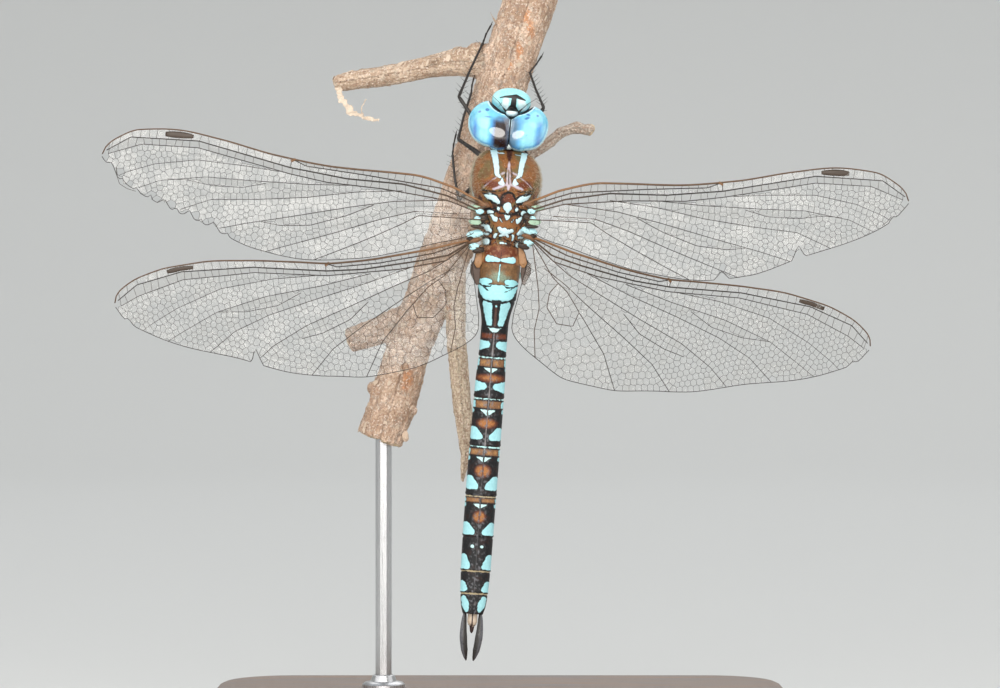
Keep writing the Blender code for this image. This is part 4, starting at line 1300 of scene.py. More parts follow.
def build_hinges():
    """Small hard plates between the thorax and the wings, and the hindwings' inner flaps."""
    shape, ground = Shape(), []

    def add(points, faces, colour):
        shape.add(points, faces)
        ground.extend([colour] * len(points))

    for name in WINGS:
        blade = Blade(name)
        for middle, sizes, colour in PLATES[blade.kind]:
            ball, faces = globe((0, 0, 0), (1, 1, 1), 22, 14)
            lumps = 0.2 * rough(ball + middle[0] * 3 + middle[1], 1.3, 2)[:, None]
            ball = ball * (1 + lumps) * sizes + middle
            add(blade.root + ball @ np.array((blade.along, blade.ahead, blade.off)), faces, colour)
        for route, colour in zip(FLAPS.get(name, ()), (FLAP_BROWN, FLAP_PEACH)):
            route = resample(route, 0.15)
            middle, width = DATUM + route[:, :3], route[:, 3]
            add(*sweep(middle, width, 10, squash=0.14, up=(0, -1, 0)), colour)
            add(*sweep(middle + width[:, None] * (blade.side, 0, 0), 0.055, 6), PLATE_DARK)
    look = Finish("hinge_plates")
    patchy = look.between(look.noise(3, 4), 0.55, 0.7, 0.0, 0.75)
    finish = look.done((look.noise(6, 5), 0.06, 0.8), roughness=0.38, specular_ior_level=0.4,
                       base_color=look.blend(patchy, look.colour(), (0.09, 0.04, 0.02)))
    piece("wing_hinges", shape, finish, values={"ground": ground})


def membrane_material():
    look = Finish("wing_film")
    cloud = look.noise(0.35, 4)
    haze = look.calc('ADD', cloud, look.calc('MULTIPLY', look.value("tone"), 0.12))
    return look.done((look.noise(3, 4), 0.08, 0.8),
                     base_color=look.blend(cloud, (0.2, 0.18, 0.15), (0.34, 0.31, 0.27)),
                     roughness=look.vary(1.3, 3, 0.1, 0.3), specular_ior_level=0.5, ior=3.2,
                     alpha=look.between(haze, 0.42, 0.72, 0.1, 0.26))


def vein_material():
    look = Finish("wing_veins")
    dark = look.blend(look.noise(1.2), (0.012, 0.01, 0.008), (0.035, 0.024, 0.016))
    warm = look.blend(look.noise(2), (0.2, 0.085, 0.03), (0.33, 0.17, 0.07))
    return look.done((look.noise(12), 0.02, 0.5), roughness=0.4,
                     base_color=look.blend(look.value("warmth"), dark, warm))


MEMBRANE, VEIN = membrane_material(), vein_material()


# Head, in its own frame: side to the right, front ahead and up from the back

HEAD_CENTRE = (1.0, -0.4, 26.05)
HEAD_TURN = math.radians(5.5)
SEAM = 0.25                       # where the eyes meet, right of the middle
# centre and radii of the solids that the head skin melts together
HEAD_SOLIDS = (
    ((0.0, -0.85, -1.2), (2.86, 1.56, 2.46)),      # capsule
    ((0.22, 1.3, 1.3), (0.8, 0.5, 0.8)),           # vertex
    ((0.08, 2.86, 0.38), (2.3, 1.38, 1.48)),       # frons
    ((0.1, 2.5, 0.1), (2.34, 1.35, 1.3)),
    ((0.08, 2.45, -0.5), (2.15, 1.3, 1.2)),
    ((0.0, 2.55, -1.45), (1.96, 1.26, 0.96)),      # clypeus
    ((0.0, 1.95, -2.75), (1.66, 1.21, 0.91)),      # labrum
    ((0.95, 1.45, -2.95), (0.85, 1.0, 0.8)),       # jaws
    ((-0.95, 1.45, -2.95), (0.85, 1.0, 0.8)),
    ((0.0, 0.2, -3.55), (1.96, 1.86, 0.71)),       # labium
    ((0.3, -2.6, 0.95), (0.62, 0.5, 1.3)),         # back of the head between the eyes
)
HEAD_VOXEL, HEAD_ROUNDS = 0.06, 7
EYE_CENTRE = (2.15, -0.1, 0.2)
EYE_RADII = (2.62, 2.8, 3.25)
EYE_COLUMNS, EYE_ROWS = 132, 100
OUTLINE_SECTORS = 96
EYE_FRONT_RADIUS = {"left": 2.65, "right": 2.5}
EYE_LEAN = (1.2, -1.6)            # how far the top of an eye leans to the seam and back
EYE_SQUARING = {"left": 0.33, "right": 0.22}   # fullness of the hind inner corner
EYE_CUT = (0.3, 0.78)             # front of the cut for the face at the seam, and its slope
EYE_RIM = ((0.15, 2.75), (2.75, 1.9))          # arc along which the eyes meet the face
FACE_RIM = ((0.1, 2.8), (2.36, 1.62))
OFF_FACE = 1.0                    # distance given to a mark where it may not lie

FACE_CYAN = (0.32, 0.78, 0.84)
FACE_WHITE = (0.82, 0.93, 0.94)
EYE_PALE = (0.34, 0.80, 0.94)
EYE_BLUE = (0.11, 0.46, 0.85)
EYE_FRONT = (0.17, 0.62, 0.86)
EYE_VIOLET = (0.08, 0.2, 0.6)
# The pseudopupil, painted shade where the facets point at the camera: dark brown on the left eye,
# grey on the right.
PSEUDOPUPIL_BROWN = (0.028, 0.013, 0.011)
PSEUDOPUPIL_GREY = (0.10, 0.22, 0.34)
# painted shade on the half of an eye that faces away from the camera
EYE_UNDER = (0.05, 0.11, 0.17)
# distance from the seam and colour, across the hind part of each eye, with the painted pseudopupil
EYE_BANDS = {
    "left": ((0, (0.06, 0.12, 0.2)), (0.3, (0.055, 0.06, 0.09)), (0.6, PSEUDOPUPIL_BROWN),
             (1.65, PSEUDOPUPIL_BROWN), (1.95, (0.06, 0.17, 0.38)), (2.25, EYE_BLUE), (2.7, EYE_PALE),
             (3.4, EYE_PALE), (3.8, (0.2, 0.6, 0.88)), (4.1, (0.09, 0.36, 0.78)),
             (4.4, (0.2, 0.62, 0.88)), (5, (0.28, 0.72, 0.9))),
    "right": ((0, (0.08, 0.14, 0.21)), (0.7, PSEUDOPUPIL_GREY), (1.15, (0.14, 0.44, 0.76)),
              (1.7, EYE_PALE), (2.8, EYE_PALE), (3.2, (0.13, 0.46, 0.84)),
              (3.5, (0.1, 0.38, 0.8)), (3.9, (0.25, 0.66, 0.9)), (4.3, (0.45, 0.84, 0.93)),
              (5, (0.32, 0.74, 0.92))),
}
EYE_SPECKS = {   # (side, front) of the middle, half length and width, tilt
    "left": (((-3.5, 1), (0.2, 0.14), 20), ((-2.62, 1.3), (0.25, 0.19), 0),
             ((-2.4, 0.45), (0.44, 0.09), 0)),
    "right": (((2.75, 2), (0.22, 0.2), 30), ((2.2, 1.15), (0.34, 0.13), -20),
              ((2.15, 0.7), (0.36, 0.14), 25), ((3.35, 1.15), (0.17, 0.12), 0)),
}
BRISTLE_RADII = ((0, 0.12), (0.1, 0.13), (0.12, 0.08), (0.2, 0.08), (0.22, 0.038),
                 (0.6, 0.026), (1, 0.013))


def head_points(local):
    """Places (side, front, up) points of the head's frame."""
    ahead = np.array((math.sin(HEAD_TURN), 0.0, math.cos(HEAD_TURN)))
    right = np.array((math.cos(HEAD_TURN), 0.0, -math.sin(HEAD_TURN)))
    return (DATUM + HEAD_CENTRE + local[:, :1] * right + local[:, 1:2] * ahead
            - local[:, 2:] * np.array((0.0, 1.0, 0.0)))


def face_marks(side, front, up):
    """Distances to the black, the pale and the white marks of the face."""
    black = union(
        strokes(side, front,
                ((-1.25, 2.9, 0.07), (-0.7, 3.05, 0.12), (0.05, 3.12, 0.2), (0.6, 3.22, 0.24),
                 (1.15, 3.04, 0.18), (1.72, 2.86, 0.07)),
                ((0.4, 3.05, 0.3), (0.36, 2, 0.34))),
        np.maximum(np.abs(side - 0.32) - 0.3 - 0.75 * np.maximum(2.15 - front, 0),
                   np.abs(front - 1.75) - 0.4),
        np.maximum(-blob(side, front, *FACE_RIM), front - 2.6))
    bowl = np.maximum(blob(side, front, (0.33, 1.33), (0.76, 0.66)), front - 1.4)
    behind = np.maximum(stroke(side, front, (0.33, -2.85, 0.42), (0.33, -2.35, 0.15)),
                        -up - 0.2)
    white = strokes(side, front, ((-0.55, 2.6, 0.36), (-0.6, 2, 0.42)),
                    ((1.3, 2.6, 0.44), (1.5, 2.05, 0.5)))
    above = up > 0.15
    black = np.where(above | (front < 1.9), black, OFF_FACE)
    seams = strokes(up, side * 0.9,
                    ((-0.75, -2.1, 0.07), (-0.95, 0, 0.05), (-0.75, 2.1, 0.07)),
                    ((-2.1, -1.7, 0.06), (-2, 0, 0.04), (-2.1, 1.7, 0.06)),
                    ((-3.35, -1.7, 0.12), (-3.4, 1.7, 0.12)),
                    ((-2.5, 0, 0.05), (-2.9, 0, 0.09)))
    black = np.where((front > 0.6) & ~above, union(black, seams), black)
    return np.maximum(black, -bowl - 0.02), union(bowl, behind), white


def build_head_skin():
    solids = Shape()
    for centre, radii in HEAD_SOLIDS:
        solids.add(*globe(centre, radii))
    local, faces = melted(solids, HEAD_VOXEL, HEAD_ROUNDS)
    side, front, up = local.T
    black, bowl, white = face_marks(side, front, up)
    # A short grey streak on the left of the face, crossing under the left antenna.
    grey_streak = stroke(side, front, (-1, 2.35, 0.04), (-1.2, 2, 0.07), (-1.35, 1.85, 0.03))
    ground = painted(
        np.tile(np.array(FACE_CYAN), (len(local), 1)),
        (FACE_WHITE, soft(white, 0.14) * (up > 0) * 0.95),
        ((0.5, 0.78, 0.76), step_in(0, -1.6, up) * 0.8),
        ((0.46, 0.62, 0.5), step_in(-1.9, -2.4, up) * 0.8),
        ((0.55, 0.86, 0.9), step_in(0, 0.4, rough(local, 0.8, 3)) * 0.5),
        ((0.2, 0.13, 0.08), step_in(-3.2, -3.7, up) * 0.85),
        ((0.02, 0.018, 0.018), step_in(1.25, 0.7, front) * (1 - soft(bowl, 0.1))),
        ((0.2, 0.26, 0.25), soft(grey_streak, 0.07) * (up > 0) * 0.8))
    piece("head_skin", Shape(head_points(local), faces), face_material(),
          ["head_capsule", "vertex", "frons", "clypeus", "labrum", "labium"],
          values={"ground": ground, "dark": black, "pale": bowl})


def face_material():
    look = Finish("face_skin")
    speckle = look.between(look.noise(5, 4), 0.35, 0.75, 0.0, 0.35)
    colour = look.blend(speckle, look.colour(), (0.62, 0.9, 0.93))
    for name, paint in (("dark", (0.012, 0.011, 0.012)), ("pale", (0.78, 0.92, 0.93))):
        colour = look.blend(look.inside(look.value(name), 0.035), colour, paint)
    return look.done((look.cells(9), 0.012, 0.7), base_color=colour, specular_ior_level=0.45,
                     roughness=look.vary(2, 3, 0.3, 0.45), subsurface_weight=0.08,
                     subsurface_radius=(0.0004, 0.0005, 0.0006))


def from_outline(local):
    """Distance inside an eye's outline, seen from above, and height above that outline."""
    side, front = (local[:, :2] - local[:, :2].mean(axis=0)).T
    out = np.hypot(side, front)
    sector = ((np.arctan2(front, side) / np.pi + 1) * OUTLINE_SECTORS / 2).astype(int)
    sector %= OUTLINE_SECTORS
    farthest, level = np.zeros(OUTLINE_SECTORS), np.zeros(OUTLINE_SECTORS)
    for k in range(OUTLINE_SECTORS):
        members = np.flatnonzero(sector == k)
        last = members[np.argmax(out[members])]
        farthest[k], level[k] = out[last], local[last, 2]
    return farthest[sector] - out, local[:, 2] - level[sector]


def eye_ground(name, local, within, rise):
    """Banded colour of an eye, with the pseudopupil and the shade of its hidden half painted in.
    """
    side, front, up = local.T
    away = np.abs(side - SEAM)
    at, colours = zip(*EYE_BANDS[name])
    ground = np.stack([np.interp(away, at, channel) for channel in zip(*colours)], 1)
    wander = rough(local, 0.7, 3, 3.0)
    ahead = step_in(0.1, 0.75, front + 0.25 * wander + 0.12 * (away - 2))
    behind = step_in(0.9, 0.1, front) * step_in(-0.5, -0.1, rise) * step_in(0.3, 0.6, away)
    if name == "left":
        violet = hump(away, 4.15, 0.2) * hump(front, -1.2, 0.7)
        # the lower part of the painted pseudopupil shade on the left eye
        pseudopupil_below = hump(away, 0.9, 0.75) * step_in(-1.9, -2.3, front)
    else:
        violet = hump(away, 3.5, 0.25) * hump(front, -2.1, 0.6)
        pseudopupil_below = np.zeros(len(local))
    return painted(
        ground,
        (EYE_FRONT, ahead * 0.9),
        ((0.13, 0.4, 0.75), hump(front, 0.25, 0.25) * hump(away, 1.3, 0.6) * 0.7),
        (EYE_PALE, step_in(0.6, 1.5, front) * step_in(2.2, 4.2, away) * 0.8),
        (EYE_VIOLET, violet * 0.7),
        ((0.02, 0.008, 0.007), pseudopupil_below),
        ((0.1, 0.34, 0.72), step_in(-2.2, -2.8, front) * step_in(1.7, 1.9, away) * 0.35),
        # painted shade below the outline seen from the camera
        (EYE_UNDER, step_in(0.62, 0.3, up) * 0.75),
        ((0.07, 0.05, 0.035), step_in(0, -2.4, up + 0.4 * wander) * 0.85),
        ((0.05, 0.26, 0.62), hump(within, 0.3, 0.1) * behind * 0.6),
        ((0.6, 0.9, 0.96), step_in(0.2, 0.12, within) * behind * 0.9))


def eye_values(name, local):
    """Colour of an eye, distances to its marks, and the weight of its clear layer.

    The clear layer is left off where it would mirror the thorax.
    """
    side, front, up = local.T
    away = np.abs(side - SEAM)
    within, rise = from_outline(local)
    arc = union(blob(side, front, *EYE_RIM),
                stroke(side, front, (0.28, 1.4, 0.8), (0.28, 0.6, 0.14)))
    beside = np.abs(away - 0.12) - 0.03 + 0.08 * step_in(-0.2, -1.2, front)
    flank = np.maximum(step_in(0.08, 0.45, within), step_in(0.9, 0.6, away))
    return {
        "ground": eye_ground(name, local, within, rise),
        "pale": np.where(up > -0.6, union(np.abs(arc - 0.07) - 0.06, beside), OFF_FACE),
        "dots": np.where(up > 0.5, blobs(side, front, *EYE_SPECKS[name]), OFF_FACE),
        "dark": union(np.where(up > -1, arc, OFF_FACE),
                      np.where(up > 0.3, away - 0.075, OFF_FACE)),
        "gloss": flank * step_in(0, 0.6, up) * step_in(-2.3, -1.8, front),
    }


def build_eye(name):
    turn = -1 if name == "left" else 1
    side_radius = EYE_RADII[0] - turn * SEAM / 2
    middle = (turn * EYE_CENTRE[0] + SEAM / 2, *EYE_CENTRE[1:])
    ball = bmesh.new()
    bmesh.ops.create_uvsphere(ball, u_segments=EYE_COLUMNS, v_segments=EYE_ROWS, radius=1.0)
    for vert in ball.verts:
        inward, front, up = -vert.co.z, vert.co.y, vert.co.x
        swell = 1 + EYE_SQUARING[name] * 2 * max(inward, 0.0) * max(-front, 0.0)
        lean = max(up, 0.0) ** 2
        length = EYE_FRONT_RADIUS[name] if front > 0 else EYE_RADII[1] + 0.06
        vert.co = (middle[0] + turn * (-inward * side_radius * swell - EYE_LEAN[0] * lean),
                   middle[1] + front * length * swell + EYE_LEAN[1] * lean,
                   middle[2] + up * EYE_RADII[2])
    for point, facing in (((SEAM + turn * 0.03, 0, 0), (-turn, 0, 0)),
                          ((SEAM, EYE_CUT[0], 0), (-turn * EYE_CUT[1], 1, 0))):
        everything = ball.verts[:] + ball.edges[:] + ball.faces[:]
        made = bmesh.ops.bisect_plane(ball, geom=everything, plane_co=point,
                                      plane_no=facing, clear_outer=True)
        rim = [part for part in made["geom_cut"] if isinstance(part, bmesh.types.BMEdge)]
        bmesh.ops.edgenet_fill(ball, edges=rim)
    bmesh.ops.recalc_face_normals(ball, faces=ball.faces[:])
    local, faces = drained(ball)
    piece(f"eye_{name}_globe", Shape(head_points(local), faces), EYE_FINISH,
          [f"eye_{name}"], sharp=50, values=eye_values(name, local))


def eye_material():
    look = Finish("eye_surface")
    colour = look.blend(1.0, look.colour(), look.vary(1.1, 4, 0.9, 1.08), blend_type='MULTIPLY')
    fleck = look.between(look.noise(6, 2), 0.66, 0.74, 0.0, 0.35)
    dots = look.calc('MULTIPLY', look.inside(look.value("dots"), 0.06), 0.85)
    dark = look.inside(look.value("dark"), 0.03)
    pale = look.calc('MULTIPLY', look.inside(look.value("pale"), 0.03), 0.85)
    for share, paint in ((fleck, (0.05, 0.2, 0.5)), (dots, (0.03, 0.12, 0.42)),
                         (dark, (0.01, 0.01, 0.012)), (pale, (0.62, 0.88, 0.93))):
        colour = look.blend(share, colour, paint)
    return look.done((look.cells(22), 0.004, 0.5), base_color=colour, specular_ior_level=0.15,
                     coat_weight=look.value("gloss"), coat_ior=2.15, coat_roughness=0.03,
                     roughness=look.vary(3, 3, 0.2, 0.32))


EYE_FINISH = eye_material()


def build_antennae():
    """Two swollen base joints and a fine bristle on each side."""
    shape = Shape()
    for turn in (-1, 1):
        route = np.array(((0.75, 1.35, 1.75), (1.15, 1.75, 2.25), (1.7, 2.35, 2.5),
                          (2.5, 2.95, 2.4), (3.4, 3.6, 2.3)))
        points = resample(route * (turn, 1, 1) + (0.3, 0, 0), 0.12)
        radius = line(BRISTLE_RADII, np.linspace(0, 1, len(points)))
        shape.add(*sweep(head_points(points), radius, 8, up=(0.3, 1, 0.2)))
    piece("antennae", shape, LEG_FINISH, ["antenna_left", "antenna_right"])


# Tail, belly and down

CERCUS_LENGTH = 5.55
CERCUS_RADII = ((0, 0.18), (0.08, 0.27), (0.22, 0.34), (0.5, 0.45), (0.78, 0.4), (0.93, 0.22),
                (1, 0.06))
EPIPROCT_LENGTH = 2.3
EPIPROCT_RADII = ((0, 0.56), (0.4, 0.6), (0.56, 0.46), (0.62, 0.3), (0.9, 0.2), (1, 0.06))
TAIL_STEPS, TAIL_SIDES = 60, 20
# run, degrees round the body, half sizes and how pale each lobe is
LOBES = ((14.3, 180, (0.55, 0.9, 0.3), 0.1), (15.6, 166, (0.3, 0.6, 0.35), 0.6),
         (15.6, 194, (0.3, 0.6, 0.35), 0.6), (16.6, 180, (0.4, 0.5, 0.4), 0.3),
         (18.6, 180, (0.35, 0.9, 0.35), 0.1), (14.7, 97, (0.35, 0.5, 0.3), 1.0),
         (14.7, -97, (0.35, 0.5, 0.3), 1.0))
DOWN_HAIRS = 9000
DOWN_RADIUS = 0.016
DOWN_COLOUR = (0.62, 0.5, 0.33)
TUFT_PATCH = 0.003                # width of a hair's patch on the baking map
HAIR_FACES = ((0, 1, 4, 3), (1, 2, 5, 4), (2, 0, 3, 5), (3, 4, 6), (4, 5, 6), (5, 3, 6))
HAIR_POINTS = 7


def end_frame(run):
    """Centre, right, back and tailward directions of the body at a run."""
    centre, right, back = body_frame(np.array(run))
    return centre, right, back, unit(centre - body_frame(np.array(run - 0.3))[0])


def build_tail():
    """Two leaf-like claspers with a keel, and the short plate between them."""
    centre, right, back, tail = end_frame(BODY_END - 0.05)
    share = np.linspace(0, 1, TAIL_STEPS)[:, None]
    arch = np.sin(np.pi * share)
    shape, outer = Shape(), []
    for side in (-1, 1):
        apart = 0.92 - 0.5 * share ** 2 + 0.12 * arch
        points = (centre + right * side * apart + tail * CERCUS_LENGTH * share
                  + back * (0.25 + 0.4 * arch))
        radius = line(CERCUS_RADII, share[:, 0])
        rings, faces = sweep(points, radius, TAIL_SIDES, squash=0.5, up=tuple(back))
        offset = rings - np.repeat(points, TAIL_SIDES, axis=0)
        across = offset.dot(right) * side / np.repeat(radius, TAIL_SIDES)
        keel = 0.1 * hump(across, 0.1, 0.16) * (offset.dot(back) > 0)
        shape.add(rings + back * keel[:, None], faces)
        outer.append(across)
    piece("cerci", shape, cercus_material(), ["cercus_left", "cercus_right"],
          values={"outer": np.concatenate(outer)})
    plate = centre + tail * EPIPROCT_LENGTH * share - back * (0.3 + 0.3 * share)
    rings, faces = sweep(plate, line(EPIPROCT_RADII, share[:, 0]), TAIL_SIDES, squash=0.6,
                         up=tuple(back))
    offset = rings - np.repeat(plate, TAIL_SIDES, axis=0)
    piece("epiproct_plate", Shape(rings, faces), epiproct_material(), ["epiproct"],
          values={"middle": np.abs(offset.dot(right)),
                  "reach": np.repeat(share[:, 0], TAIL_SIDES)})


def cercus_material():
    look = Finish("cercus_horn")
    tone = look.noise(3, 4)
    grey = look.blend(tone, (0.04, 0.04, 0.045), (0.14, 0.14, 0.155))
    black = look.blend(tone, (0.006, 0.005, 0.005), (0.025, 0.02, 0.016))
    outer = look.between(look.value("outer"), 0.05, 0.35)
    return look.done((look.noise(6, 4, (1, 1, 0.35)), 0.04, 0.7), specular_ior_level=0.6,
                     base_color=look.blend(outer, black, grey),
                     roughness=look.between(tone, 0.3, 0.7, 0.25, 0.45))


def epiproct_material():
    look = Finish("epiproct_skin")
    tone = look.noise(4, 4)
    cream = look.blend(tone, (0.62, 0.46, 0.32), (0.75, 0.66, 0.55))
    dark = look.blend(tone, (0.012, 0.008, 0.008), (0.06, 0.022, 0.016))
    middle = look.between(look.value("middle"), 0.05, 0.11, 1.0, 0.0)
    reach = look.calc('ADD', look.value("reach"), look.vary(6, 2, -0.12, 0.12))
    share = look.calc('MAXIMUM', middle, look.between(reach, 0.5, 0.62))
    return look.done((tone, 0.04, 0.7), base_color=look.blend(share, cream, dark),
                     roughness=0.45)


def build_belly():
    """Small lobes under the second segment and the swellings on its sides."""
    shape, tones = Shape(), []
    for run, degrees, radii, tone in LOBES:
        centre, _, _, tail = end_frame(run)
        root = body_points(np.array(run), np.array(math.radians(degrees)), -0.15)
        out = unit(root - centre)
        points, faces = globe((0, 0, 0), radii, 20, 12)
        shape.add(root + points @ np.array((unit(np.cross(tail, out)), tail, out)), faces)
        tones += [tone] * len(points)
    look = Finish("belly_lobes")
    grain = look.noise(4, 4)
    dark = look.blend(grain, (0.02, 0.012, 0.009), (0.09, 0.045, 0.025))
    finish = look.done((grain, 0.03, 0.7), roughness=0.42,
                       base_color=look.blend(look.value("tone"), dark, (0.36, 0.62, 0.6)))
    piece("belly_lobes", shape, finish, values={"tone": tones})


def down_roots():
    """Where hairs stand on the thorax and the first segments, by run and angle."""
    run = RNG.uniform(0.35, 13.4, DOWN_HAIRS * 3)
    angle = RNG.uniform(-np.pi, np.pi, DOWN_HAIRS * 3)
    folded = fold(angle)
    thick = 0.25 + 0.75 * step_in(35, 80, folded)
    thick *= 1 - 0.75 * step_in(4.8, 5.4, run) * step_in(95, 60, folded)
    thick *= 1 - 0.8 * step_in(11.2, 12.0, run)
    kept = RNG.random(len(run)) < thick
    return run[kept][:DOWN_HAIRS], angle[kept][:DOWN_HAIRS]


def build_down():
    """Fine pale hairs over the thorax, each a bent three-sided spike."""
    run, angle = down_roots()
    folded = fold(angle)
    root = body_points(run, angle, -0.12)
    out = unit(body_points(run, angle, 1.0) - root)
    tail = unit(body_points(run + 0.3, angle) - body_points(run - 0.3, angle))
    aside = np.cross(tail, out)
    count = len(run)
    length = RNG.uniform(0.3, 0.62, count) * (0.6 + 0.4 * step_in(40, 90, folded))
    lean = RNG.uniform(0.15, 0.75, (count, 1))
    way = unit(out + tail * lean + aside * RNG.normal(0, 0.28, (count, 1)))
    middle = root + way * (length * 0.55)[:, None]
    tip = middle + unit(way + tail * 0.5) * (length * 0.45)[:, None]
    turn = np.arange(3) * 2 * np.pi / 3
    ring = DOWN_RADIUS * (tail[:, None] * np.cos(turn)[None, :, None]
                          + aside[:, None] * np.sin(turn)[None, :, None])
    points = np.concatenate((root[:, None] + ring, middle[:, None] + ring * 0.7,
                             tip[:, None]), 1)
    faces = [[HAIR_POINTS * hair + i for i in face] for hair in range(count)
             for face in HAIR_FACES]
    ground = paint_body(run, spread(run, folded), folded, root)[0]
    tint = painted(ground, (DOWN_COLOUR, np.full(count, 0.72)),
                   ((0.8, 0.74, 0.6), RNG.uniform(0, 0.5, count)))
    made = piece("down", Shape(points, faces), down_material(),
                 values={"ground": np.repeat(tint, HAIR_POINTS, axis=0)})
    bake = made.data.uv_layers.new(name="OFBake")
    k = np.arange(HAIR_POINTS)
    corner = TUFT_PATCH * np.stack((0.5 + 0.4 * np.cos(2.1 * k), 0.1 + 0.13 * k), 1)
    home = np.stack((angle / (2 * np.pi) + 0.5, run / BODY_END), 1)
    loops = np.empty(len(made.data.loops), int)
    made.data.loops.foreach_get("vertex_index", loops)
    hair, point = np.divmod(loops, HAIR_POINTS)
    bake.data.foreach_set("uv", (home[hair] + corner[point]).ravel())


def down_material():
    look = Finish("down_hair")
    grain = look.noise(3)
    pale = look.between(grain, 0.35, 0.7, 0.0, 0.4)
    return look.done((grain, 0.01, 0.5), roughness=0.55, sheen_weight=0.3,
                     base_color=look.blend(pale, look.colour(), (0.75, 0.68, 0.52)))


# Branch and stand

TWIGS = {   # (side, depth, height, radius) along each twig, in the order that wood_frame counts
    "fork": ((-4.6, 11.6, 14.5, 1.5), (-5.4, 10.6, 8, 1.4), (-5.35, 10.3, 1, 1.28),
             (-4.65, 10.2, -6.8, 1.25), (-4.3, 10.2, -10.5, 1.1), (-4.15, 10.2, -13.2, 0.8),
             (-4.6, 10.2, -16.8, 0.3)),
    "upper_left": ((1, 12.2, 34.2, 2), (-5.2, 12.8, 34.5, 1.85), (-8.7, 13, 33.9, 1.48),
                   (-12.2, 13, 33.1, 1.4), (-19.2, 13, 32.05, 1.25), (-20.4, 13, 31.9, 0.9)),
    "right": ((-2, 12.5, 22.5, 1), (3, 12.8, 22.8, 0.95), (6.1, 12.8, 24.7, 0.8),
              (7.4, 12.8, 25.9, 0.75), (9.2, 12.8, 26.4, 0.82), (11.2, 12.8, 26.1, 0.8)),
    "lower_left": ((-8, 12.2, 5, 2), (-12.5, 12.8, 2.6, 1.9), (-16, 13.2, 1.2, 1.75),
                   (-18.6, 13.6, 0.4, 1.65)),
}
TRUNK, FORK, UPPER_LEFT, RIGHT, LOWER_LEFT = range(5)
TRUNK_STEPS = 60
BARK_VOXEL, BARK_ROUNDS = 0.2, 8
# knobs and scars as (side, depth, height) with their radii
KNOBS = (((-15.6, 10.8, -5.3), (0.7, 0.6, 0.9)), ((-10.4, 9.0, -8.1), (0.6, 0.5, 0.8)),
         ((-2.9, 11.6, 36.1), (1.1, 0.9, 0.9)), ((-4.9, 11.7, 35.8), (0.7, 0.8, 0.55)),
         ((-1.9, 10.6, 35.6), (0.8, 0.6, 1.1)), ((-8.1, 11.4, 34.6), (0.6, 0.8, 0.5)),
         ((9.4, 12.6, 27.0), (0.75, 0.6, 0.4)), ((11.1, 12.8, 26.3), (0.7, 0.8, 0.75)),
         ((-5.2, 9.4, 12.4), (1.0, 0.8, 1.6)), ((1.6, 8.9, 30.4), (0.7, 0.4, 1.3)),
         ((-1.0, 9.2, 20.0), (0.9, 0.45, 1.1)), ((-13.0, 11.6, 3.9), (0.9, 0.9, 0.6)))
SPUR = ((0.6, 10.8, 38.2), (-0.4, 10.3, 39.1), (-0.9, 10.1, 39.7), (-1.25, 9.9, 40.4))
# the curl of bark that hangs off a twig and its splinter, as (side, depth, height, radius)
SHREDS = (((-19.7, 12.3, 31.4, 0.4), (-19.6, 12.2, 30.2, 0.26), (-18.2, 12.3, 28.4, 0.4),
           (-16.5, 12.4, 27.6, 0.3), (-14.8, 12.4, 27.3, 0.14)),
          ((-16.6, 12.4, 27.8, 0.14), (-16.9, 12.1, 28.9, 0.1), (-16.3, 11.9, 29.9, 0.05)))
SHRED_TONES = (0.85, 0.6)
BLOTCHES = (((-11.2, 8.9, -4.4), 1.2), ((3.3, 9.0, 39.6), 0.7), ((3.8, 9.2, 38.2), 0.8),
            ((2.4, 9.0, 35.4), 0.7), ((1.2, 9.0, 33.6), 0.4), ((-6.5, 9.0, 4.0), 0.9),
            ((-9.6, 9.4, -9.5), 0.8), ((-0.6, 8.8, 27.5), 0.6))
FLAKE = (-11.45, 9.7, -11.2)
FLAKE_OUTLINE = ((-1, -1, 0), (1, -1, 0), (0.9, 0.4, 0.6), (0.1, 1, 1), (-0.8, 0.5, 0.7))
FLAKE_FACES = [[4, 3, 2, 1, 0], [5, 6, 7, 8, 9]]
FLAKE_FACES += [[i, (i + 1) % 5, 5 + (i + 1) % 5, 5 + i] for i in range(5)]
BARK_FLAKES = 420
ROD_PLACE = (-14.2, 12.0)         # side and depth of the rod
ROD_TOP = -9.0                    # height of its end inside the branch
# height over the floor and radius of the collar where the rod leaves the base
COLLAR = ((6.02, 2.6), (6.5, 2.6), (6.75, 2.35), (6.9, 1.6), (7.6, 1.35), (7.7, 1.08))
COLLAR_SIDES = 48


def node_points(name):
    """Points in millimetres and faces of a CAD node."""
    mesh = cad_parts[name].data
    points = np.empty(len(mesh.vertices) * 3)
    mesh.vertices.foreach_get("co", points)
    return points.reshape(-1, 3) / MM, [list(face.vertices) for face in mesh.polygons]


def wood_routes():
    """Middle line and radii of the trunk and then of each twig."""
    heights = np.linspace(BRANCH_AXIS[0][0], BRANCH_AXIS[-1][0], TRUNK_STEPS)
    trunk = np.stack((smooth(BRANCH_AXIS, heights), np.full(TRUNK_STEPS, BRANCH_DEPTH),
                      heights, smooth(BRANCH_RADIUS, heights)), 1)
    routes = [trunk] + [resample(route, 0.5) for route in TWIGS.values()]
    return [(DATUM + route[:, :3], route[:, 3]) for route in routes]


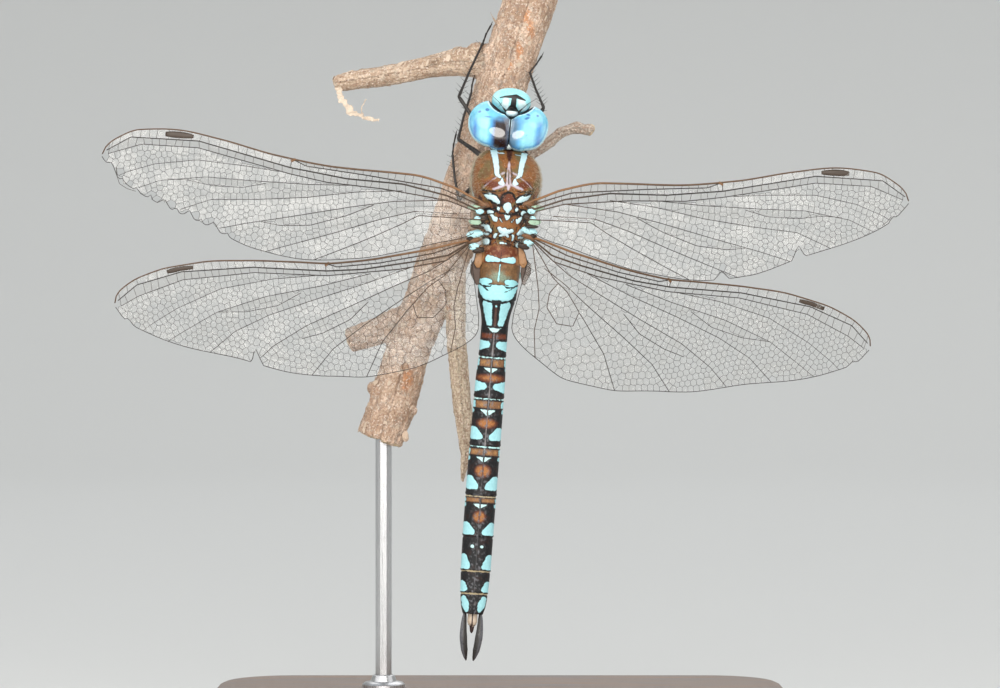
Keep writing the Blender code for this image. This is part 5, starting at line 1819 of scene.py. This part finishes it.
def wood_frame(points):
    """For bark points: distance along the wood, arc round it, which length and its share."""
    best = np.full(len(points), 1e3)
    found = np.zeros((4, len(points)))
    for number, (route, radii) in enumerate(wood_routes()):
        for k in range(len(route) - 1):
            leg = route[k + 1] - route[k]
            length = np.linalg.norm(leg)
            heading = leg / length
            t = np.clip((points - route[k]).dot(leg) / length ** 2, 0, 1)
            off = points - route[k] - t[:, None] * leg
            away = np.linalg.norm(off, axis=1) - radii[k]
            aside = unit(np.cross(heading, (0.0, 1.0, 0.0)))
            turn = np.arctan2(off.dot(aside), off.dot(np.cross(aside, heading)))
            here = (number * 40 + k * length + t * length, turn * radii[k],
                    np.full(len(points), number), (k + t) / (len(route) - 1))
            found = np.where(away < best, here, found)
            best = np.minimum(best, away)
    return found


def vertex_normals(points, faces):
    corners = np.array([face[:3] for face in faces])
    a, b, c = (points[corners[:, k]] for k in range(3))
    facing = np.cross(b - a, c - a)
    total = np.zeros_like(points)
    for k in range(3):
        np.add.at(total, corners[:, k], facing)
    return unit(total)


def build_branch():
    wood = Shape(*node_points("perch_branch"))
    for centre, radii in KNOBS:
        points, faces = globe(centre, radii, 16, 10)
        wood.add(points + DATUM, faces)
    spur = DATUM + resample(SPUR, 0.3)
    wood.add(*sweep(spur, np.linspace(0.5, 0.12, len(spur)), 8))
    points, faces = melted(wood, BARK_VOXEL, BARK_ROUNDS)
    along, arc, which, share = wood_frame(points)
    twig = which > TRUNK
    ridges = rough(np.stack((arc * 1.5, along * 0.22, arc * 0.4), 1), 1.0, 4, 2.0)
    lumps = rough(points, 0.35, 3, 7.0)
    grain = rough(points, 1.4, 4, 13.0)
    facing = vertex_normals(points, faces)
    rod_end = DATUM + (*ROD_PLACE, ROD_TOP)
    seat = step_in(0.6, 2.6, np.linalg.norm(points - rod_end, axis=1))
    off_ring = np.abs((along * 0.31 + lumps * 0.25) % 1 - 0.5)
    rise = 0.12 * ridges + 0.12 * lumps + 0.1 * grain
    rise = rise * np.where(twig, 0.6, 1.0) * seat - 0.06
    rise += 0.07 * step_in(0.05, 0.0, off_ring) * twig
    points = points + facing * rise[:, None]
    blotch = np.full(len(points), FAR)
    for centre, radius in BLOTCHES:
        away = (points - DATUM - centre) / (radius * 0.7, radius, radius * 1.5)
        blotch = np.minimum(blotch, np.linalg.norm(away, axis=1) + 0.5 * grain)
    cut = (which == TRUNK) & (facing[:, 2] < -0.75)
    cut |= (which > FORK) & (share > 0.985) & (np.abs(facing[:, 1]) < 0.65)
    cut |= (points[:, 2] - DATUM[2] > 43.0) & (facing[:, 2] > 0.75)
    values = {
        "along": np.stack((arc, along, lumps), 1) * 0.1,
        "pale": np.select([which == RIGHT, which == UPPER_LEFT, which == FORK],
                          [0.35, 0.4, step_in(0.1, 0.35, share)], 0.0),
        "grey": np.select([which == RIGHT, which == LOWER_LEFT], [0.8, 0.3], 0.0),
        "blotch": soft(blotch - 0.9, 0.3),
        "hollow": np.maximum(soft(ridges + 0.12, 0.16), step_in(0.04, 0.0, off_ring) * twig),
        "cut": cut,
    }
    piece("branch_bark", Shape(points, faces), bark_material(), ["perch_branch"],
          values=values)
    build_flakes(points, facing, np.flatnonzero((which == TRUNK) | (which == UPPER_LEFT)))


def build_flakes(points, facing, near):
    """Lifted scales of bark, one larger pale flake, and the shred that hangs off a twig."""
    shape, tones = Shape(), []

    def add(points, faces, tone):
        shape.add(points, faces)
        tones.extend([tone] * len(points))

    for k in RNG.choice(near, BARK_FLAKES):
        root, out = points[k], facing[k]
        level = np.array((0.3, 0.0, 1.0))
        up = unit(level - out * out.dot(level))
        aside = np.cross(up, out)
        width, length = RNG.uniform(0.12, 0.32), RNG.uniform(0.3, 0.9)
        turn = RNG.uniform(-0.5, 0.5)
        up, aside = (up * math.cos(turn) + aside * math.sin(turn),
                     aside * math.cos(turn) - up * math.sin(turn))
        lift = RNG.uniform(0.05, 0.14)
        top = [root + aside * a * width + up * b * length / 2 + out * (c * lift + 0.02)
               for a, b, c in FLAKE_OUTLINE]
        add(top + [point - out * 0.05 for point in top], FLAKE_FACES, RNG.random() * 0.7)
    for route, tone in zip(SHREDS, SHRED_TONES):
        route = resample(route, 0.2)
        wave = 0.1 * np.sin(np.arange(len(route)) * 0.9)[:, None] * (0.3, 1, 0.3)
        radii = route[:, 3] * (1 + 0.45 * rough(route[:, :3], 1.1, 3, 5.0))
        rings, faces = sweep(DATUM + route[:, :3] + wave, radii, 10, squash=0.35)
        add(rings + rough(rings, 1.9, 3)[:, None] * 0.22, faces, tone)
    lump, faces = globe(FLAKE + DATUM, (0.42, 0.3, 0.7), 16, 12)
    add(lump + rough(lump, 1.6, 3)[:, None] * 0.15, faces, 0.35)
    look = Finish("bark_flakes")
    dark = look.blend(look.noise(2.5, 5), (0.34, 0.22, 0.15), (0.6, 0.43, 0.31))
    finish = look.done((look.noise(6, 5), 0.06, 0.9), roughness=0.85, specular_ior_level=0.2,
                       base_color=look.blend(look.value("tone"), dark, (0.8, 0.68, 0.55)))
    piece("bark_flakes", shape, finish, flat=True, values={"tone": tones})


def bark_material():
    look = Finish("bark_skin")
    where = look.node("ShaderNodeMapping", {"Vector": look.carried("along").outputs["Vector"],
                                            "Scale": (55, 5, 8)}).outputs[0]
    fibres = look.node("ShaderNodeTexNoise", {"Vector": where, "Scale": 1, "Detail": 6,
                                              "Roughness": 0.6}).outputs["Fac"]
    cloud, fine, pebble = look.noise(0.4, 5), look.noise(3.5, 6), look.cells(3.2)
    colour = look.blend(look.between(cloud, 0.4, 0.6), (0.54, 0.37, 0.26), (0.84, 0.63, 0.48))
    for share, paint in (
            (look.between(look.noise(0.9), 0.5, 0.62, 0.0, 0.55), (0.44, 0.39, 0.34)),
            (look.value("pale"), look.blend(fibres, (0.6, 0.48, 0.34), (0.82, 0.7, 0.54))),
            (look.value("grey"), look.blend(cloud, (0.42, 0.36, 0.31), (0.66, 0.6, 0.53))),
            (look.calc('MULTIPLY', look.value("blotch"), 0.8), (0.68, 0.3, 0.13)),
            (look.between(fine, 0.6, 0.7, 0.0, 0.6), (0.5, 0.22, 0.12)),
            (look.between(fibres, 0.48, 0.34, 0.0, 0.5), (0.24, 0.14, 0.09)),
            (look.calc('MULTIPLY', look.value("hollow"), 0.35), (0.27, 0.18, 0.12)),
            (look.between(look.cells(1.6), 0.1, 0.16, 0.8, 0.0), (0.09, 0.055, 0.04)),
            (look.between(pebble, 0.4, 0.65, 0.0, 0.5), (0.34, 0.2, 0.14)),
            (look.between(look.noise(4.2), 0.55, 0.66, 0.0, 0.8), (0.88, 0.74, 0.63))):
        colour = look.blend(share, colour, paint)
    ring = look.node("ShaderNodeTexWave", {"Vector": look.place(), "Scale": 0.8,
                                           "Distortion": 6, "Detail": 3}).outputs["Fac"]
    cut_face = look.blend(ring, (0.62, 0.47, 0.3), (0.74, 0.6, 0.42))
    height = look.calc('ADD', look.calc('MULTIPLY', fibres, 1.2), fine)
    height = look.calc('SUBTRACT', height, look.calc('MULTIPLY', pebble, 0.6))
    return look.done((height, 0.2, 0.9), specular_ior_level=0.25,
                     base_color=look.blend(look.value("cut"), colour, cut_face),
                     roughness=look.between(cloud, 0.3, 0.7, 0.72, 0.92))


def build_stand():
    """Finishes for the turned base and the rod, with a collar where the rod enters it."""
    look = Finish("walnut")
    grain = look.noise(0.12, 8, (0.6, 7, 2.5), 0.65)
    pore = look.noise(0.8, 4, (0.35, 9, 3))
    colour = look.blend(look.between(grain, 0.32, 0.68), (0.075, 0.036, 0.02),
                        (0.24, 0.13, 0.07))
    colour = look.blend(look.between(pore, 0.58, 0.7, 0.0, 0.6), colour, (0.04, 0.02, 0.012))
    dress("stand_base", look.done(
        (pore, 0.05, 0.5), base_color=colour, coat_weight=0.35, coat_roughness=0.2,
        roughness=look.between(grain, 0.3, 0.7, 0.35, 0.5)))
    look = Finish("brushed_steel")
    brushed = look.noise(2, 4, (6, 6, 0.15))
    steel = look.done((brushed, 0.01, 0.4), metallic=1.0,
                      base_color=look.blend(brushed, (0.5, 0.5, 0.51), (0.68, 0.68, 0.69)),
                      roughness=look.between(brushed, 0.3, 0.7, 0.22, 0.38))
    dress("stand_rod", steel)
    turn = 2 * np.pi * np.arange(COLLAR_SIDES) / COLLAR_SIDES
    foot = DATUM + (*ROD_PLACE, -DATUM[2])
    rings = [foot + (radius * math.cos(t), radius * math.sin(t), height)
             for height, radius in COLLAR for t in turn]
    piece("rod_collar", Shape(rings, grid_faces(len(COLLAR), COLLAR_SIDES)), steel,
          sharp=35)


def dress(name, finish):
    """Gives a kept CAD node its procedural finish."""
    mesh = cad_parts[name].data
    mesh.materials.clear()
    mesh.materials.append(finish)


# Stage

FLOOR_REACH = 850.0               # radius of the flat floor
SWEEP_RADIUS = 600.0              # of the rise from the floor to the wall
WALL_TOP = 1600.0
STAGE_SIDES = 96
PHOTO_WIDTH = 1000                # pixels across the photo
PIXELS_PER_MM = 8.44
VIEW_DISTANCE = 400.0
SENSOR = 36.0
SUBJECT = (0.0, -0.007, 0.05)     # what the lamps aim at, in metres
# place, width, height, power and colour of each lamp
LAMPS = {
    "key": ((-0.02, -0.45, 0.175), 0.68, 0.34, 2.3, (1.0, 0.97, 0.93)),
    "left_fill": ((-0.85, -0.4, 0.78), 1.1, 1.1, 3.3, (1, 1, 1)),
    "right_fill": ((0.85, -0.2, 0.8), 1.1, 1.1, 2.8, (1, 1, 1)),
    "rear": ((0.1, 0.85, 0.95), 1.1, 1.1, 4.3, (1, 1, 1)),
}


def build_stage():
    """A round pale floor that sweeps up into a wall all round."""
    bend = np.linspace(0.1, math.pi / 2, 14)
    profile = [(300.0, 0.0), (FLOOR_REACH, 0.0)]
    profile += [(FLOOR_REACH + SWEEP_RADIUS * math.sin(t), SWEEP_RADIUS * (1 - math.cos(t)))
                for t in bend]
    profile += [(FLOOR_REACH + SWEEP_RADIUS, WALL_TOP)]
    turn = 2 * np.pi * np.arange(STAGE_SIDES) / STAGE_SIDES
    points = [(0.0, 0.0, 0.0)]
    points += [(r * math.cos(t), r * math.sin(t), z) for r, z in profile for t in turn]
    faces = [[0, 1 + (i + 1) % STAGE_SIDES, 1 + i] for i in range(STAGE_SIDES)]
    faces += [[1 + i for i in face] for face in grid_faces(len(profile), STAGE_SIDES)]
    mesh = Shape(points, faces).mesh("sweep")
    mesh.shade_smooth()
    mesh.materials.append(Finish("sweep_paper").done(base_color=(0.66, 0.66, 0.645),
                                                     roughness=0.9))
    linked("sweep", mesh)


def build_lights():
    for name, (place, width, height, power, colour) in LAMPS.items():
        light = bpy.data.lights.new(name, 'AREA')
        light.shape, light.size, light.size_y = 'ELLIPSE', width, height
        light.energy, light.color = power, colour
        made = linked(name, light)
        made.location = place
        aim = Vector(SUBJECT) - Vector(place)
        made.rotation_euler = aim.to_track_quat('-Z', 'Y').to_euler()
    world = bpy.data.worlds.new("studio")
    world.use_nodes = True
    background = world.node_tree.nodes["Background"]
    background.inputs["Color"].default_value = (0.8, 0.85, 0.9, 1)
    background.inputs["Strength"].default_value = 0.62
    bpy.context.scene.world = world
    bpy.context.scene.view_settings.view_transform = 'Standard'


def build_camera():
    """The photo's view: level, square to the insect's back and 400 mm away."""
    camera = bpy.data.cameras.new("camera")
    camera.sensor_width = SENSOR
    camera.lens = SENSOR * VIEW_DISTANCE / (PHOTO_WIDTH / PIXELS_PER_MM)
    camera.clip_start, camera.clip_end = 0.01, 10.0
    made = linked("camera", camera)
    made.location = (DATUM + (0, -VIEW_DISTANCE, 0)) * MM
    made.rotation_euler = (math.pi / 2, 0, 0)
    bpy.context.scene.camera = made


build_stage()
build_lights()
build_camera()
build_skin()
build_head_skin()
for eye_name in EYE_BANDS:
    build_eye(eye_name)
build_antennae()
for leg_name in LEGS:
    build_leg(leg_name)
for wing_name in WINGS:
    build_wing(wing_name)
build_hinges()
build_tail()
build_belly()
build_down()
build_branch()
build_stand()
